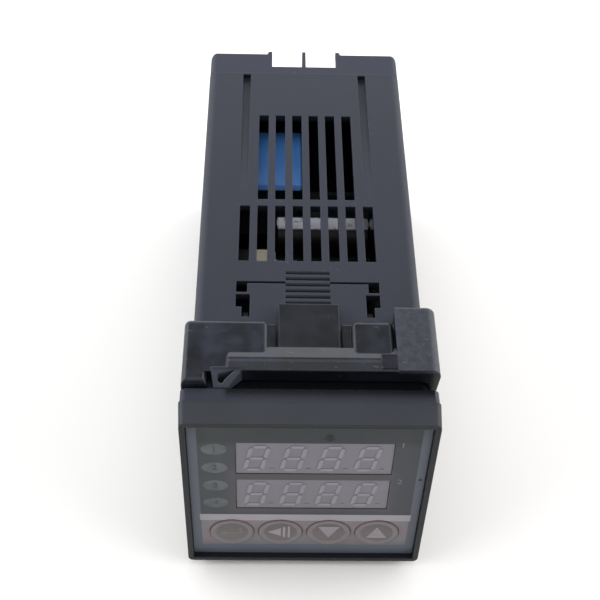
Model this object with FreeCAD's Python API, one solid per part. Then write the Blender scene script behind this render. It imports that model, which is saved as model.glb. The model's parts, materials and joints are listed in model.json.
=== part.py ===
import FreeCAD, Part
import math
import os

# Panel-mounted temperature controller, 1/16 size, with its mounting collar.
# Millimetres.  The origin is the centre of the panel plane, which is the rear
# face of the flange.  +X is to the right seen from the front, +Y goes rearwards
# through the panel and +Z is up.

Vector = FreeCAD.Vector

# ---- Case: a square moulded tube with a flange at its front --------------------
CASE_WIDTH = 44.5
CASE_LENGTH = 95.2            # from the panel plane to the rear edge
CASE_WALL = 1.6
CASE_CORNER = 2.0
FLANGE_LIP = 1.55             # how far the flange stands out past the case
FLANGE_THICK = 2.8

# ---- Front bezel ---------------------------------------------------------------
BEZEL_LIP = 0.2               # the bezel stands this much past the flange
BEZEL_DEPTH = 5.2
BEZEL_DRAFT = 0.3             # the bezel narrows this much towards its front
BEZEL_CORNER = 1.2
RIM_WIDTH = 1.1
RECESS_DEPTH = 1.15
PLATE_THICK = 1.3             # plate behind the overlay
SKIRT_WALL = 1.2
SKIRT_LENGTH = 4.0            # how far the skirt reaches past the panel plane
SKIRT_CORNER = 1.0
SEAT_GAP = 0.15               # play between pieces that plug into each other

# ---- Overlay, display windows and their digits ---------------------------------
OVERLAY_THICK = 0.5
WINDOW_TOP = 6.2              # from the recess wall to the upper window
WINDOW_RIGHT = 6.63           # from the recess wall to both windows
WINDOW_GAP = 1.95             # strip between the two windows
WINDOW_KEY_GAP = 4.25         # strip between the lower window and the keys
LAMP_WINDOW_GAP = 1.5
WINDOW_PLAY = 0.1
DISPLAY_DEPTH = 5.05          # display block behind the bezel's plate
DISPLAY_SHOULDER = 0.6        # its shoulder behind the window's edge
DISPLAY_SINK = 0.15           # its face lies this much below the overlay
DIGITS = 4
DIGIT_EDGE = 0.9
DIGIT_GAP = 2.9
DIGIT_MARGIN = 0.95           # above and below a digit
SEGMENT_WIDTH = 0.85
SEGMENT_GAP = 0.16            # joint between neighbouring segments
SEGMENT_THICK = 0.1           # the segments stand this much proud of the face
DIGIT_SLANT = 10.0            # degrees
POINT_SIZE = 0.8              # decimal point

# ---- Indicator lamps -----------------------------------------------------------
LAMP_WIDTH = 4.9
LAMP_HEIGHT = 3.5
LAMP_MARGIN = 2.55            # from the recess wall to the lamps
LED_HEIGHT = 0.9
LED_SIZE = 1.6

# ---- Keys and their switches ---------------------------------------------------
KEY_COUNT = 4
KEY_RADIUS = 4.4
KEY_SPACING = 0.95            # between neighbouring caps
KEY_MARGIN = 3.9              # from the recess wall up to the caps
KEY_PLAY = 0.12
KEY_PROUD = 0.35              # the cap's ring stands this much above the overlay
KEY_RING = 1.1                # width of that ring
KEY_DISH = 0.3                # the cap's middle lies this much below its ring
KEY_TRAVEL = 0.4
KEY_SHELL = 1.1
LUG_WIDTH = 2.4
LUG_REACH = 0.5
LUG_THICK = 0.7
LUG_PLAY = 0.05
SWITCH_SIZE = 6.0
SWITCH_HEIGHT = 3.5
PLUNGER_RADIUS = 1.75
PLUNGER_STAND = 0.8
PLUNGER_PLAY = 0.06
PLUNGER_LENGTH = 2.4
STOP_PLAY = 0.15              # left under a pressed cap

# ---- Circuit boards and what stands on them ------------------------------------
BOARD_THICK = 1.6
BOARD_PLAY = 0.2
BOARD_MARGIN = 2.85           # between a side board and the case's side wall
BOARD_TONGUE = 2.5            # the side boards are this much lower at the skirt
RAIL_DEPTH = 1.7
RAIL_WIDTH = 1.1
HEADER_SIZE = 2.5
HEADER_LENGTH = 20.3
HEADER_PINS = 8
PIN_SIZE = 0.6
RELAY_LENGTH = 19.5
RELAY_WIDTH = 15.5
RELAY_HEIGHT = 15.6
RELAY_FROM_REAR = 12.2
RELAY_BOTTOM = -0.5
RELAY_EDGE = 0.8
CAPACITOR_RADIUS = 5.0
CAPACITOR_LENGTH = 22.5
CAPACITOR_FROM_REAR = 40.6    # its axis
CAPACITOR_RISE = 8.0          # its axis above the middle
TRANSFORMER_LENGTH = 22.0
TRANSFORMER_WIDTH = 14.0
TRANSFORMER_HEIGHT = 14.2
TRANSFORMER_FROM_REAR = 11.2
TRANSFORMER_BOTTOM = -17.0
CORE_LEG = 4.5
WINDING_CLEAR = 0.3
PLUG_LENGTH = 5.5
PLUG_WIDTH = 8.0
PLUG_HEIGHT = 8.4
PLUG_FROM_REAR = 46.2
PLUG_BOTTOM = 2.0
CHIP_LENGTH = 20.0
CHIP_WIDTH = 7.0
CHIP_HEIGHT = 3.4
CHIP_FROM_FRONT = 12.0
CHIP_BOTTOM = -10.0

# ---- Ventilation slots, ramps, slits and ratchet rack in the case --------------
VENT_PITCH = 3.7
VENT_WIDTH = 2.15
VENT_START = 33.9
FRONT_VENT_COUNT = 8
FRONT_VENT_LENGTH = 16.1
VENT_ROW_GAP = 2.0
REAR_VENT_COUNT = 6
REAR_VENT_MARGIN = 15.6       # solid wall left behind the rear row
RAMP_INSET = 7.95             # from the case's side to a ramp
RAMP_WIDTH = 1.8
RAMP_LENGTH = 40.0
RAMP_DEPTH = 1.1
RAMP_MARGIN = 0.7             # from the ramp to the rear edge
RACK_WIDTH = 8.9
RACK_START = 12.4
RACK_PITCH = 1.62
RACK_TEETH = 12
RACK_DEPTH = 0.8
TOOTH_LAND = 0.75             # flat crest left between two rack notches
SLIT_WIDTH = 0.55
SLIT_Y = 27.7
POCKET_OUTER = 14.25          # outer side of the latch pockets, from the middle
POCKET_WIDTH = 2.8
REAR_POCKET_WIDTH = 2.2
REAR_POCKET_LENGTH = 2.9
POCKET_BRIDGE = 0.6
FRONT_POCKET_LENGTH = 5.9
FRONT_POCKET_STEP = 2.6       # length of the pocket's narrower front end
FRONT_POCKET_NOTCH = 1.2      # how much narrower that end is
LATCH_THICK = 1.2
HOOK_LENGTH = 2.4
HOOK_PLAY = 0.25

# ---- Terminal base and terminals -----------------------------------------------
BASE_INSET = 0.1              # the base is this much slimmer than the case
BASE_PLATE = 2.5
BASE_DEPTH = 7.3              # behind the case's rear edge
BASE_CORNER = 1.5
SPIGOT_LENGTH = 3.0
CHANNEL_WIDTH = 15.1          # open wiring channel between the two columns
FIN_THICK = 0.8
TIP_HEIGHT = 1.0
TIP_LENGTH = 1.6
TERMINALS = 5                 # in each column
RIB_THICK = 1.2
SIDE_WALL = 1.2
SNAP_LENGTH = 1.4
SNAP_WIDTH = 5.0
SNAP_SPREAD = 24.0
SNAP_HEIGHT = 0.9
CONTACT_THICK = 0.8
CONTACT_WIDTH = 6.4
CONTACT_MARGIN = 2.5          # from the wiring channel to the plate
LEG_WIDTH = 3.0
LEG_LENGTH = 9.0              # from the plate forward along the board
SCREW_RADIUS = 1.5
SCREW_LENGTH = 5.0
HEAD_RADIUS = 2.8
HEAD_HEIGHT = 1.8
HEAD_BEVEL = 0.5
DRIVE_WIDTH = 0.8
DRIVE_DEPTH = 0.9
WASHER_SIZE = 6.0
WASHER_THICK = 0.8
THREAD_PLAY = 0.05
HOLE_PLAY = 0.3

# ---- Mounting collar -----------------------------------------------------------
COLLAR_PLAY = 0.25            # running gap round the case
COLLAR_WALL = 1.15
COLLAR_FRONT = 3.0            # ring and cross bar start here
COLLAR_LENGTH = 12.75
COLLAR_CORNER = 1.5
EDGE_ROUND = 0.7
SOFT_ROUND = 1.2              # on the block and the pad
BLOCK_HEIGHT = 2.95           # block and pad above the case
BLOCK_INNER = 7.7             # inner side of the block, from the middle
FOOT_GAP = 0.4                # from the flange to the feet
FOOT_WIDTH = 4.7
FOOT_DROP = 9.0               # how far the corner foot reaches down the side
BAR_HEIGHT = 3.55
BAR_REACH = 15.5
BAR_LEAD = 1.7                # gentle slope from the bar's front edge up to its ridge
BAR_DROP = 0.35               # how far that slope falls
BAR_RIDGE = 0.9
RIDGE_FALL = 0.12             # the ridge falls this much to the rear
BAR_LAND = 0.4                # level strip behind the ridge
BAR_SLOPE = 3.3               # slope from there down to the tongue
SHOULDER_INNER = 13.3         # level shoulder that joins the bar to the tower
SHOULDER_SET = 0.5            # it starts this much behind the bar's front
SHOULDER_LENGTH = 3.5
TONGUE_WIDTH = 11.6
TONGUE_LENGTH = 11.7          # pawl behind the cross bar
TONGUE_THICK = 1.6
TONGUE_LIFT = 0.75            # gap between the case and the pawl
TONGUE_SLIT = 0.5
PAWL_PLAY = 0.2
PAWL_TEETH = 2
PAWL_FILL = 0.9               # share of the pitch that a pawl tooth takes
PAD_INNER = 8.0
PAD_OUTER = 16.1
TOWER_WIDTH = 7.9
TOWER_HEIGHT = 3.55
TOWER_EXTRA = 3.1             # the tower reaches this much further back
TOWER_PROUD = 0.6             # the tower stands out past the ring's side
TOWER_DROP = 4.5              # how far its outer side reaches down
TOWER_ROUND = 2.0             # height of its rounded outer shoulder
TOWER_EASE = 0.2              # the shoulder's radius is this much smaller
LOOP_WIDTH = 6.5
LOOP_INSET = 5.35             # from the collar's side to the loop
LOOP_NOSE = 2.7               # width of its front end
LOOP_NOSE_INSET = 0.6
LOOP_RISE = 3.1               # its rear edge above the ring's bore
LOOP_TIP = 1.0                # thickness of its front end
EYE_RADIUS = 0.7
EYE_LENGTH = 2.6

# ---- Places worked out from the sizes above ------------------------------------
CASE_HALF = CASE_WIDTH / 2
CASE_INNER = CASE_HALF - CASE_WALL
FLANGE_HALF = CASE_HALF + FLANGE_LIP
BEZEL_HALF = FLANGE_HALF + BEZEL_LIP
BEZEL_BACK = -FLANGE_THICK
BEZEL_FRONT = BEZEL_BACK - BEZEL_DEPTH
FRONT_HALF = BEZEL_HALF - BEZEL_DRAFT
RECESS_HALF = FRONT_HALF - RIM_WIDTH
OVERLAY_FRONT = BEZEL_FRONT + RECESS_DEPTH
PLATE_FRONT = OVERLAY_FRONT + OVERLAY_THICK
PLATE_BACK = PLATE_FRONT + PLATE_THICK
SKIRT_HALF = CASE_INNER - SEAT_GAP
HOLLOW_HALF = SKIRT_HALF - SKIRT_WALL
BOARD_FRONT = PLATE_BACK + DISPLAY_DEPTH
BOARD_BACK = BOARD_FRONT + BOARD_THICK
DISPLAY_FACE = OVERLAY_FRONT + DISPLAY_SINK

KEY_PITCH = 2 * KEY_RADIUS + KEY_SPACING
KEY_Z = -RECESS_HALF + KEY_MARGIN + KEY_RADIUS
LAMP_X = -RECESS_HALF + LAMP_MARGIN + LAMP_WIDTH / 2
WINDOW_X0 = LAMP_X + LAMP_WIDTH / 2 + LAMP_WINDOW_GAP
WINDOW_X1 = RECESS_HALF - WINDOW_RIGHT
WINDOW_X = (WINDOW_X0 + WINDOW_X1) / 2
WINDOW_WIDTH = WINDOW_X1 - WINDOW_X0
WINDOWS_TOP = RECESS_HALF - WINDOW_TOP
WINDOWS_BOTTOM = KEY_Z + KEY_RADIUS + WINDOW_KEY_GAP
WINDOW_HEIGHT = (WINDOWS_TOP - WINDOWS_BOTTOM - WINDOW_GAP) / 2
PV_Z = WINDOWS_TOP - WINDOW_HEIGHT / 2
SV_Z = WINDOWS_BOTTOM + WINDOW_HEIGHT / 2
LAMP_PITCH = (PV_Z - SV_Z) / 2
DIGIT_PITCH = (WINDOW_WIDTH - 2 * DIGIT_EDGE) / DIGITS
DIGIT_WIDTH = DIGIT_PITCH - DIGIT_GAP
DIGIT_HEIGHT = WINDOW_HEIGHT - 2 * DIGIT_MARGIN

SWITCH_FRONT = BOARD_FRONT - SWITCH_HEIGHT
PLUNGER_FRONT = SWITCH_FRONT - PLUNGER_STAND
CAP_FRONT = OVERLAY_FRONT - KEY_PROUD
CAP_BACK = SWITCH_FRONT - KEY_TRAVEL - STOP_PLAY

BOARD_X = CASE_INNER - BOARD_MARGIN - BOARD_THICK / 2
BOARD_INNER = BOARD_X - BOARD_THICK / 2
BOARD_OUTER = BOARD_X + BOARD_THICK / 2
BOARD_HALF = CASE_INNER - BOARD_PLAY
SPIGOT_FRONT = CASE_LENGTH - SPIGOT_LENGTH
BOARD_END = SPIGOT_FRONT - BOARD_PLAY

BASE_HALF = CASE_HALF - BASE_INSET
BASE_REAR = CASE_LENGTH + BASE_DEPTH
DECK = CASE_LENGTH + BASE_PLATE
CHANNEL_HALF = CHANNEL_WIDTH / 2
TERMINAL_X = (CHANNEL_HALF + BASE_HALF - SIDE_WALL) / 2
TERMINAL_PITCH = (2 * BASE_HALF - RIB_THICK) / TERMINALS
WASHER_FRONT = DECK + CONTACT_THICK
HEAD_FRONT = WASHER_FRONT + WASHER_THICK

COLLAR_INNER = CASE_HALF + COLLAR_PLAY
COLLAR_HALF = COLLAR_INNER + COLLAR_WALL
COLLAR_REAR = COLLAR_FRONT + COLLAR_LENGTH
SLOPE_TOP = COLLAR_FRONT + BAR_LEAD + BAR_RIDGE + BAR_LAND
BAR_REAR = SLOPE_TOP + BAR_SLOPE
FAR = 2 * CASE_WIDTH          # long enough to cut right through the case


# ---- Simple shapes -------------------------------------------------------------
def box(x0, x1, y0, y1, z0, z1):
    """A block between two corners."""
    return Part.makeBox(x1 - x0, y1 - y0, z1 - z0, Vector(x0, y0, z0))


def rod_y(x, z, radius, y0, y1):
    """A round rod along Y."""
    return Part.makeCylinder(radius, y1 - y0, Vector(x, y0, z), Vector(0, 1, 0))


def prism_y(points, y0, y1):
    """A prism along Y with the given (x, z) corners."""
    corners = [Vector(x, y0, z) for x, z in points]
    outline = Part.makePolygon(corners + corners[:1])
    return Part.Face(outline).extrude(Vector(0, y1 - y0, 0))


def prism_x(points, x0, x1):
    """A prism along X with the given (y, z) corners."""
    corners = [Vector(x0, y, z) for y, z in points]
    outline = Part.makePolygon(corners + corners[:1])
    return Part.Face(outline).extrude(Vector(x1 - x0, 0, 0))


def prism_z(points, z0, z1):
    """A prism along Z with the given (x, y) corners."""
    corners = [Vector(x, y, z0) for x, y in points]
    outline = Part.makePolygon(corners + corners[:1])
    return Part.Face(outline).extrude(Vector(0, 0, z1 - z0))


def edges_along(shape, direction):
    """The straight edges of a shape that run along a direction."""
    found = []
    for edge in shape.Edges:
        ends = edge.Vertexes
        if len(ends) == 2:
            run = ends[1].Point.sub(ends[0].Point)
            if run.Length > 0 and run.normalize().cross(direction).Length < 1e-6:
                found.append(edge)
    return found


def edges_at(shape, axis, value):
    """The edges of a shape that lie in the plane where one coordinate is constant."""
    found = []
    for edge in shape.Edges:
        room = edge.BoundBox
        low = getattr(room, axis + "Min")
        high = getattr(room, axis + "Max")
        if abs(low - value) < 1e-4 and abs(high - value) < 1e-4:
            found.append(edge)
    return found


def square_tube(half, corner, y0, y1):
    """A solid square bar along Y with rounded long edges."""
    bar = box(-half, half, y0, y1, -half, half)
    return bar.makeFillet(corner, edges_along(bar, Vector(0, 1, 0)))


def join(shapes):
    """One solid from shapes that meet."""
    first = shapes[0]
    return first.fuse(shapes[1:]).removeSplitter()


def turned(shape):
    """The shape turned half a turn about the Y axis."""
    copy = shape.copy()
    copy.rotate(Vector(0, 0, 0), Vector(0, 1, 0), 180)
    return copy


def mirrored_x(shape):
    """The shape mirrored from left to right."""
    return shape.mirror(Vector(0, 0, 0), Vector(1, 0, 0))


def mirrored_z(shape):
    """The shape mirrored from top to bottom."""
    return shape.mirror(Vector(0, 0, 0), Vector(0, 0, 1))


def spread(count, pitch, middle=0.0):
    """Evenly spaced places about a middle."""
    return [middle + (i - (count - 1) / 2) * pitch for i in range(count)]


# ---- Case ----------------------------------------------------------------------
def vent_slots():
    """Two rows of slots, right through the top and bottom walls."""
    front_end = VENT_START + FRONT_VENT_LENGTH
    rows = [
        (FRONT_VENT_COUNT, VENT_START, front_end),
        (REAR_VENT_COUNT, front_end + VENT_ROW_GAP, CASE_LENGTH - REAR_VENT_MARGIN),
    ]
    slots = []
    for count, y0, y1 in rows:
        for x in spread(count, VENT_PITCH):
            slots.append(box(x - VENT_WIDTH / 2, x + VENT_WIDTH / 2, y0, y1, -FAR, FAR))
    return slots


def ramp_cut():
    """A shallow ramp that deepens towards the rear, in the left of the top wall."""
    x0 = -CASE_HALF + RAMP_INSET
    y1 = CASE_LENGTH - RAMP_MARGIN
    y0 = y1 - RAMP_LENGTH
    above = CASE_HALF + 1
    profile = [(y0, CASE_HALF), (y1, CASE_HALF - RAMP_DEPTH), (y1, above), (y0, above)]
    return prism_x(profile, x0, x0 + RAMP_WIDTH)


def rack_notches():
    """Saw-tooth notches in the top wall, steep towards the panel."""
    notches = []
    for i in range(RACK_TEETH):
        y0 = RACK_START + i * RACK_PITCH
        y1 = y0 + RACK_PITCH - TOOTH_LAND
        profile = [
            (y0, CASE_HALF + 1),
            (y0, CASE_HALF - RACK_DEPTH),
            (y0 + SEAT_GAP, CASE_HALF - RACK_DEPTH),
            (y1, CASE_HALF),
            (y1, CASE_HALF + 1),
        ]
        notches.append(prism_x(profile, -RACK_WIDTH / 2, RACK_WIDTH / 2))
    return notches


def pocket_y():
    """The four Y marks of the latch pockets, from the rear forwards."""
    rear = SLIT_Y + SLIT_WIDTH
    rear_front = rear - REAR_POCKET_LENGTH
    front_rear = rear_front - POCKET_BRIDGE
    front_end = front_rear - FRONT_POCKET_LENGTH
    return rear, rear_front, front_rear, front_end


def slit_cuts():
    """The left half of the thin slit and its two latch pockets, through the top wall."""
    rear, rear_front, front_rear, front_end = pocket_y()
    low = CASE_HALF - 2 * CASE_WALL
    high = CASE_HALF + 1
    outer = -POCKET_OUTER
    slit = box(outer, -RACK_WIDTH / 2, SLIT_Y, rear, low, high)
    rear_pocket = box(outer, outer + REAR_POCKET_WIDTH, rear_front, rear, low, high)
    wide_end = front_end + FRONT_POCKET_STEP
    wide = box(outer, outer + POCKET_WIDTH, wide_end, front_rear, low, high)
    narrow = box(outer + FRONT_POCKET_NOTCH, outer + POCKET_WIDTH, front_end, front_rear, low, high)
    return [slit, rear_pocket, wide, narrow]


def board_rails():
    """Guide rails for the side boards, inside the top and bottom walls."""
    gap = BOARD_THICK / 2 + BOARD_PLAY
    y0 = SKIRT_LENGTH + BOARD_PLAY
    y1 = SPIGOT_FRONT - BOARD_PLAY
    rails = []
    for x in (-BOARD_X, BOARD_X):
        for inner in (x - gap - RAIL_WIDTH, x + gap):
            top = box(inner, inner + RAIL_WIDTH, y0, y1, CASE_INNER - RAIL_DEPTH, CASE_INNER + 0.1)
            rails += [top, mirrored_z(top)]
    return rails


def snap_windows():
    """Windows in the side walls where the terminal base snaps in."""
    y1 = CASE_LENGTH - SNAP_LENGTH
    y0 = y1 - SNAP_LENGTH
    half = SNAP_WIDTH / 2
    windows = []
    for z in (-SNAP_SPREAD / 2, SNAP_SPREAD / 2):
        left = box(-CASE_HALF - 1, -CASE_INNER + 0.5, y0, y1, z - half, z + half)
        windows += [left, mirrored_x(left)]
    return windows


def case_shell():
    """Square tube with flange, rails, slots, ramps, rack and latch pockets."""
    tube = square_tube(CASE_HALF, CASE_CORNER, -FLANGE_THICK, CASE_LENGTH)
    flange = square_tube(FLANGE_HALF, BEZEL_CORNER, -FLANGE_THICK, 0)
    shell = join([tube, flange])
    bore = square_tube(CASE_INNER, SKIRT_CORNER, -FLANGE_THICK - 1, CASE_LENGTH + 1)
    shell = shell.cut(bore)
    shell = join([shell] + board_rails())
    cuts = vent_slots() + snap_windows()
    top = [ramp_cut(), mirrored_x(ramp_cut())] + rack_notches()
    left = slit_cuts()
    top += left + [mirrored_x(cut) for cut in left]
    cuts += top + [turned(cut) for cut in top]
    return shell.cut(cuts)


# ---- Front bezel and overlay ---------------------------------------------------
def key_places():
    """Centres of the four keys along X."""
    return spread(KEY_COUNT, KEY_PITCH)


def lamp_places():
    """Heights of the four indicator lamps, from the top down."""
    half = LAMP_PITCH / 2
    return [PV_Z + half, PV_Z - half, SV_Z + half, SV_Z - half]


def oval_y(x, z, width, height, y0, y1):
    """An oval bar along Y."""
    curve = Part.Ellipse(Vector(0, 0, 0), width / 2, height / 2)
    face = Part.Face(Part.Wire([curve.toShape()]))
    bar = face.extrude(Vector(0, 0, y1 - y0))
    bar.rotate(Vector(0, 0, 0), Vector(1, 0, 0), -90)
    bar.translate(Vector(x, y0, z))
    return bar


def window_bar(z, grow, y0, y1):
    """A bar the size of a display window, grown by a margin all round."""
    half = WINDOW_HEIGHT / 2 + grow
    return box(WINDOW_X0 - grow, WINDOW_X1 + grow, y0, y1, z - half, z + half)


def fascia_openings(y0, y1, play):
    """Openings for the displays, lamps and keys, through plate or overlay."""
    openings = [window_bar(z, play, y0, y1) for z in (PV_Z, SV_Z)]
    for z in lamp_places():
        openings.append(oval_y(LAMP_X, z, LAMP_WIDTH + 2 * play, LAMP_HEIGHT + 2 * play, y0, y1))
    for x in key_places():
        openings.append(rod_y(x, KEY_Z, KEY_RADIUS + KEY_PLAY, y0, y1))
    return openings


def latch_arm():
    """Spring arm on the skirt, with a hook in the case's left front pocket."""
    inner = -POCKET_OUTER + POCKET_WIDTH - HOOK_PLAY
    outer = -POCKET_OUTER + FRONT_POCKET_NOTCH + HOOK_PLAY
    y0 = pocket_y()[-1] + HOOK_PLAY
    hook_rear = y0 + HOOK_LENGTH
    top = SKIRT_HALF
    arm = box(outer, inner, SKIRT_LENGTH - 1, hook_rear, top - LATCH_THICK, top)
    crest = CASE_INNER + CASE_WALL / 2
    barb = prism_x([(y0, top - 0.1), (y0, crest), (hook_rear, top)], outer, inner)
    return join([arm, barb])


def front_bezel():
    """Tapered square bezel with a rim, a plate with openings and a skirt."""
    rear_wire = bezel_outline(BEZEL_HALF, BEZEL_BACK)
    front_wire = bezel_outline(FRONT_HALF, BEZEL_FRONT)
    body = Part.makeLoft([rear_wire, front_wire], True, True)
    recess = box(-RECESS_HALF, RECESS_HALF, BEZEL_FRONT - 1, PLATE_FRONT, -RECESS_HALF, RECESS_HALF)
    body = body.cut(recess)
    skirt = square_tube(SKIRT_HALF, SKIRT_CORNER, BEZEL_BACK - 0.1, SKIRT_LENGTH)
    body = join([body, skirt])
    hollow = square_tube(HOLLOW_HALF, SKIRT_CORNER, PLATE_BACK, SKIRT_LENGTH + 1)
    body = body.cut([hollow] + fascia_openings(BEZEL_FRONT, BOARD_FRONT, WINDOW_PLAY))
    arms = [latch_arm(), mirrored_x(latch_arm())]
    arms += [turned(arm) for arm in arms]
    return join([body] + arms)


def bezel_outline(half, y):
    """A rounded square outline at one depth."""
    r = BEZEL_CORNER
    k = half - r
    d = r * math.sqrt(0.5)
    marks = [
        (k, -half), (half, -k), (half, k), (k, half),
        (-k, half), (-half, k), (-half, -k), (-k, -half),
    ]
    arcs = [(k + d, -k - d), (k + d, k + d), (-k - d, k + d), (-k - d, -k - d)]
    points = [Vector(x, y, z) for x, z in marks]
    middles = [Vector(x, y, z) for x, z in arcs]
    edges = []
    for i in range(4):
        start = points[2 * i]
        end = points[2 * i + 1]
        edges.append(Part.Arc(start, middles[i], end).toShape())
        edges.append(Part.makeLine(end, points[(2 * i + 2) % 8]))
    return Part.Wire(edges)


def fascia_overlay():
    """Thin printed sheet in the bezel's recess."""
    half = RECESS_HALF - WINDOW_PLAY
    sheet = box(-half, half, OVERLAY_FRONT, PLATE_FRONT, -half, half)
    return sheet.cut(fascia_openings(OVERLAY_FRONT - 1, PLATE_FRONT + 1, 0))


# ---- Displays ------------------------------------------------------------------
def slanted(x, z, middle_x, middle_z):
    """A point moved sideways by the slant of the digits."""
    return (middle_x + x + z * math.tan(math.radians(DIGIT_SLANT)), middle_z + z)


def segment_outlines(middle_x, middle_z):
    """Corners of the seven segments of one digit."""
    w = DIGIT_WIDTH / 2 - SEGMENT_WIDTH / 2
    h = DIGIT_HEIGHT / 2 - SEGMENT_WIDTH / 2
    s = SEGMENT_WIDTH / 2
    g = SEGMENT_GAP
    flat = [(-w + g, 0), (-w + s + g, s), (w - s - g, s), (w - g, 0), (w - s - g, -s), (-w + s + g, -s)]
    tall = [(0, g), (s, s + g), (s, h - s - g), (0, h - g), (-s, h - s - g), (-s, s + g)]
    outlines = [[(x, z + lift) for x, z in flat] for lift in (-h, 0, h)]
    for side in (-w, w):
        for lift in (-h, 0):
            outlines.append([(x + side, z + lift) for x, z in tall])
    return [[slanted(x, z, middle_x, middle_z) for x, z in outline] for outline in outlines]


def digit_segments(z, y0, y1):
    """All segments and decimal points of one display, as separate solids."""
    solids = []
    for x in spread(DIGITS, DIGIT_PITCH, WINDOW_X - POINT_SIZE / 2):
        for outline in segment_outlines(x, z):
            solids.append(prism_y(outline, y0, y1))
        low = POINT_SIZE / 2 - DIGIT_HEIGHT / 2
        point_x, point_z = slanted((DIGIT_WIDTH + DIGIT_GAP) / 2, low, x, z)
        h = POINT_SIZE / 2
        solids.append(box(point_x - h, point_x + h, y0, y1, point_z - h, point_z + h))
    return solids


def display_block(z):
    """Moulded display block with a shoulder behind the bezel's plate."""
    face = window_bar(z, -WINDOW_PLAY, DISPLAY_FACE, BOARD_FRONT)
    shoulder = window_bar(z, DISPLAY_SHOULDER, PLATE_BACK, BOARD_FRONT)
    return join([face, shoulder])


def display_segments(z):
    """The pale cast segments on the block's face."""
    return Part.makeCompound(digit_segments(z, DISPLAY_FACE - SEGMENT_THICK, DISPLAY_FACE))


def indicator_lens(z):
    """Oval light guide that ends at its lamp."""
    return oval_y(LAMP_X, z, LAMP_WIDTH, LAMP_HEIGHT, OVERLAY_FRONT, BOARD_FRONT - LED_HEIGHT)


def indicator_led(z):
    """Small lamp on the display board."""
    half = LED_SIZE / 2
    body = box(LAMP_X - half, LAMP_X + half, BOARD_FRONT - LED_HEIGHT, BOARD_FRONT, z - half, z + half)
    return body.makeChamfer(LED_HEIGHT / 4, edges_at(body, "Y", BOARD_FRONT - LED_HEIGHT))


# ---- Keys ----------------------------------------------------------------------
def key_cap(x):
    """Round cap with a raised ring and a dished middle, held by two lugs."""
    r = KEY_RADIUS
    ring_inner = r - KEY_RING
    ring_middle = r - KEY_RING / 2
    dish = CAP_FRONT + KEY_DISH
    side = CAP_FRONT + KEY_DISH / 2
    profile = [
        (0, dish), (ring_inner, dish), (ring_middle, CAP_FRONT), (r, side), (r, CAP_BACK),
        (r - KEY_SHELL, CAP_BACK), (r - KEY_SHELL, PLUNGER_FRONT), (0, PLUNGER_FRONT),
    ]
    corners = [Vector(x + radius, y, KEY_Z) for radius, y in profile]
    face = Part.Face(Part.makePolygon(corners + corners[:1]))
    cap = face.revolve(Vector(x, 0, KEY_Z), Vector(0, 1, 0), 360)
    half = LUG_WIDTH / 2
    y0 = PLATE_BACK + LUG_PLAY
    reach = r + LUG_REACH
    lugs = box(x - half, x + half, y0, y0 + LUG_THICK, KEY_Z - reach, KEY_Z + reach)
    inner = r - KEY_SHELL / 2
    middle = box(x - half, x + half, y0, y0 + LUG_THICK, KEY_Z - inner, KEY_Z + inner)
    return join([cap, lugs.cut(middle)])


def switch_body(x):
    """Square push switch with a round well for its plunger."""
    half = SWITCH_SIZE / 2
    body = box(x - half, x + half, SWITCH_FRONT, BOARD_FRONT, KEY_Z - half, KEY_Z + half)
    depth = PLUNGER_FRONT + PLUNGER_LENGTH + KEY_TRAVEL + STOP_PLAY
    well = rod_y(x, KEY_Z, PLUNGER_RADIUS + PLUNGER_PLAY, SWITCH_FRONT - 1, depth)
    return body.cut(well)


def switch_plunger(x):
    """Round plunger that the cap pushes into the switch."""
    return rod_y(x, KEY_Z, PLUNGER_RADIUS, PLUNGER_FRONT, PLUNGER_FRONT + PLUNGER_LENGTH)


# ---- Boards and components -----------------------------------------------------
def display_board():
    """Board across the front that carries displays, lamps and switches."""
    half = HOLLOW_HALF - BOARD_PLAY
    board = box(-half, half, BOARD_FRONT, BOARD_BACK, -half, half)
    return board.makeFillet(SKIRT_CORNER, edges_along(board, Vector(0, 1, 0)))


def side_board():
    """Left board, lower at the front where it passes the skirt."""
    y0 = SKIRT_LENGTH + BOARD_PLAY
    main = box(-BOARD_OUTER, -BOARD_INNER, y0, BOARD_END, -BOARD_HALF, BOARD_HALF)
    low = BOARD_HALF - BOARD_TONGUE
    tongue = box(-BOARD_OUTER, -BOARD_INNER, BOARD_BACK, y0, -low, low)
    return join([main, tongue])


def board_header():
    """Pin strip that joins the left board to the display board."""
    x0 = -BOARD_INNER
    y1 = BOARD_BACK + HEADER_SIZE
    half = HEADER_LENGTH / 2
    strip = box(x0, x0 + HEADER_SIZE, BOARD_BACK, y1, -half, half)
    middle_x = x0 + HEADER_SIZE / 2
    pins = []
    for z in spread(HEADER_PINS, HEADER_LENGTH / HEADER_PINS):
        s = PIN_SIZE / 2
        pins.append(box(middle_x - s, middle_x + s, y1 - s, y1 + HEADER_SIZE / 2, z - s, z + s))
    return join([strip] + pins)


def relay():
    """Sealed relay on the left board, with bevelled edges."""
    y1 = CASE_LENGTH - RELAY_FROM_REAR
    y0 = y1 - RELAY_LENGTH
    x1 = -BOARD_INNER + RELAY_HEIGHT
    z1 = RELAY_BOTTOM + RELAY_WIDTH
    body = box(-BOARD_INNER, x1, y0, y1, RELAY_BOTTOM, z1)
    body = body.makeChamfer(RELAY_EDGE, edges_along(body, Vector(1, 0, 0)))
    return body.makeChamfer(RELAY_EDGE / 2, edges_at(body, "X", x1))


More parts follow.
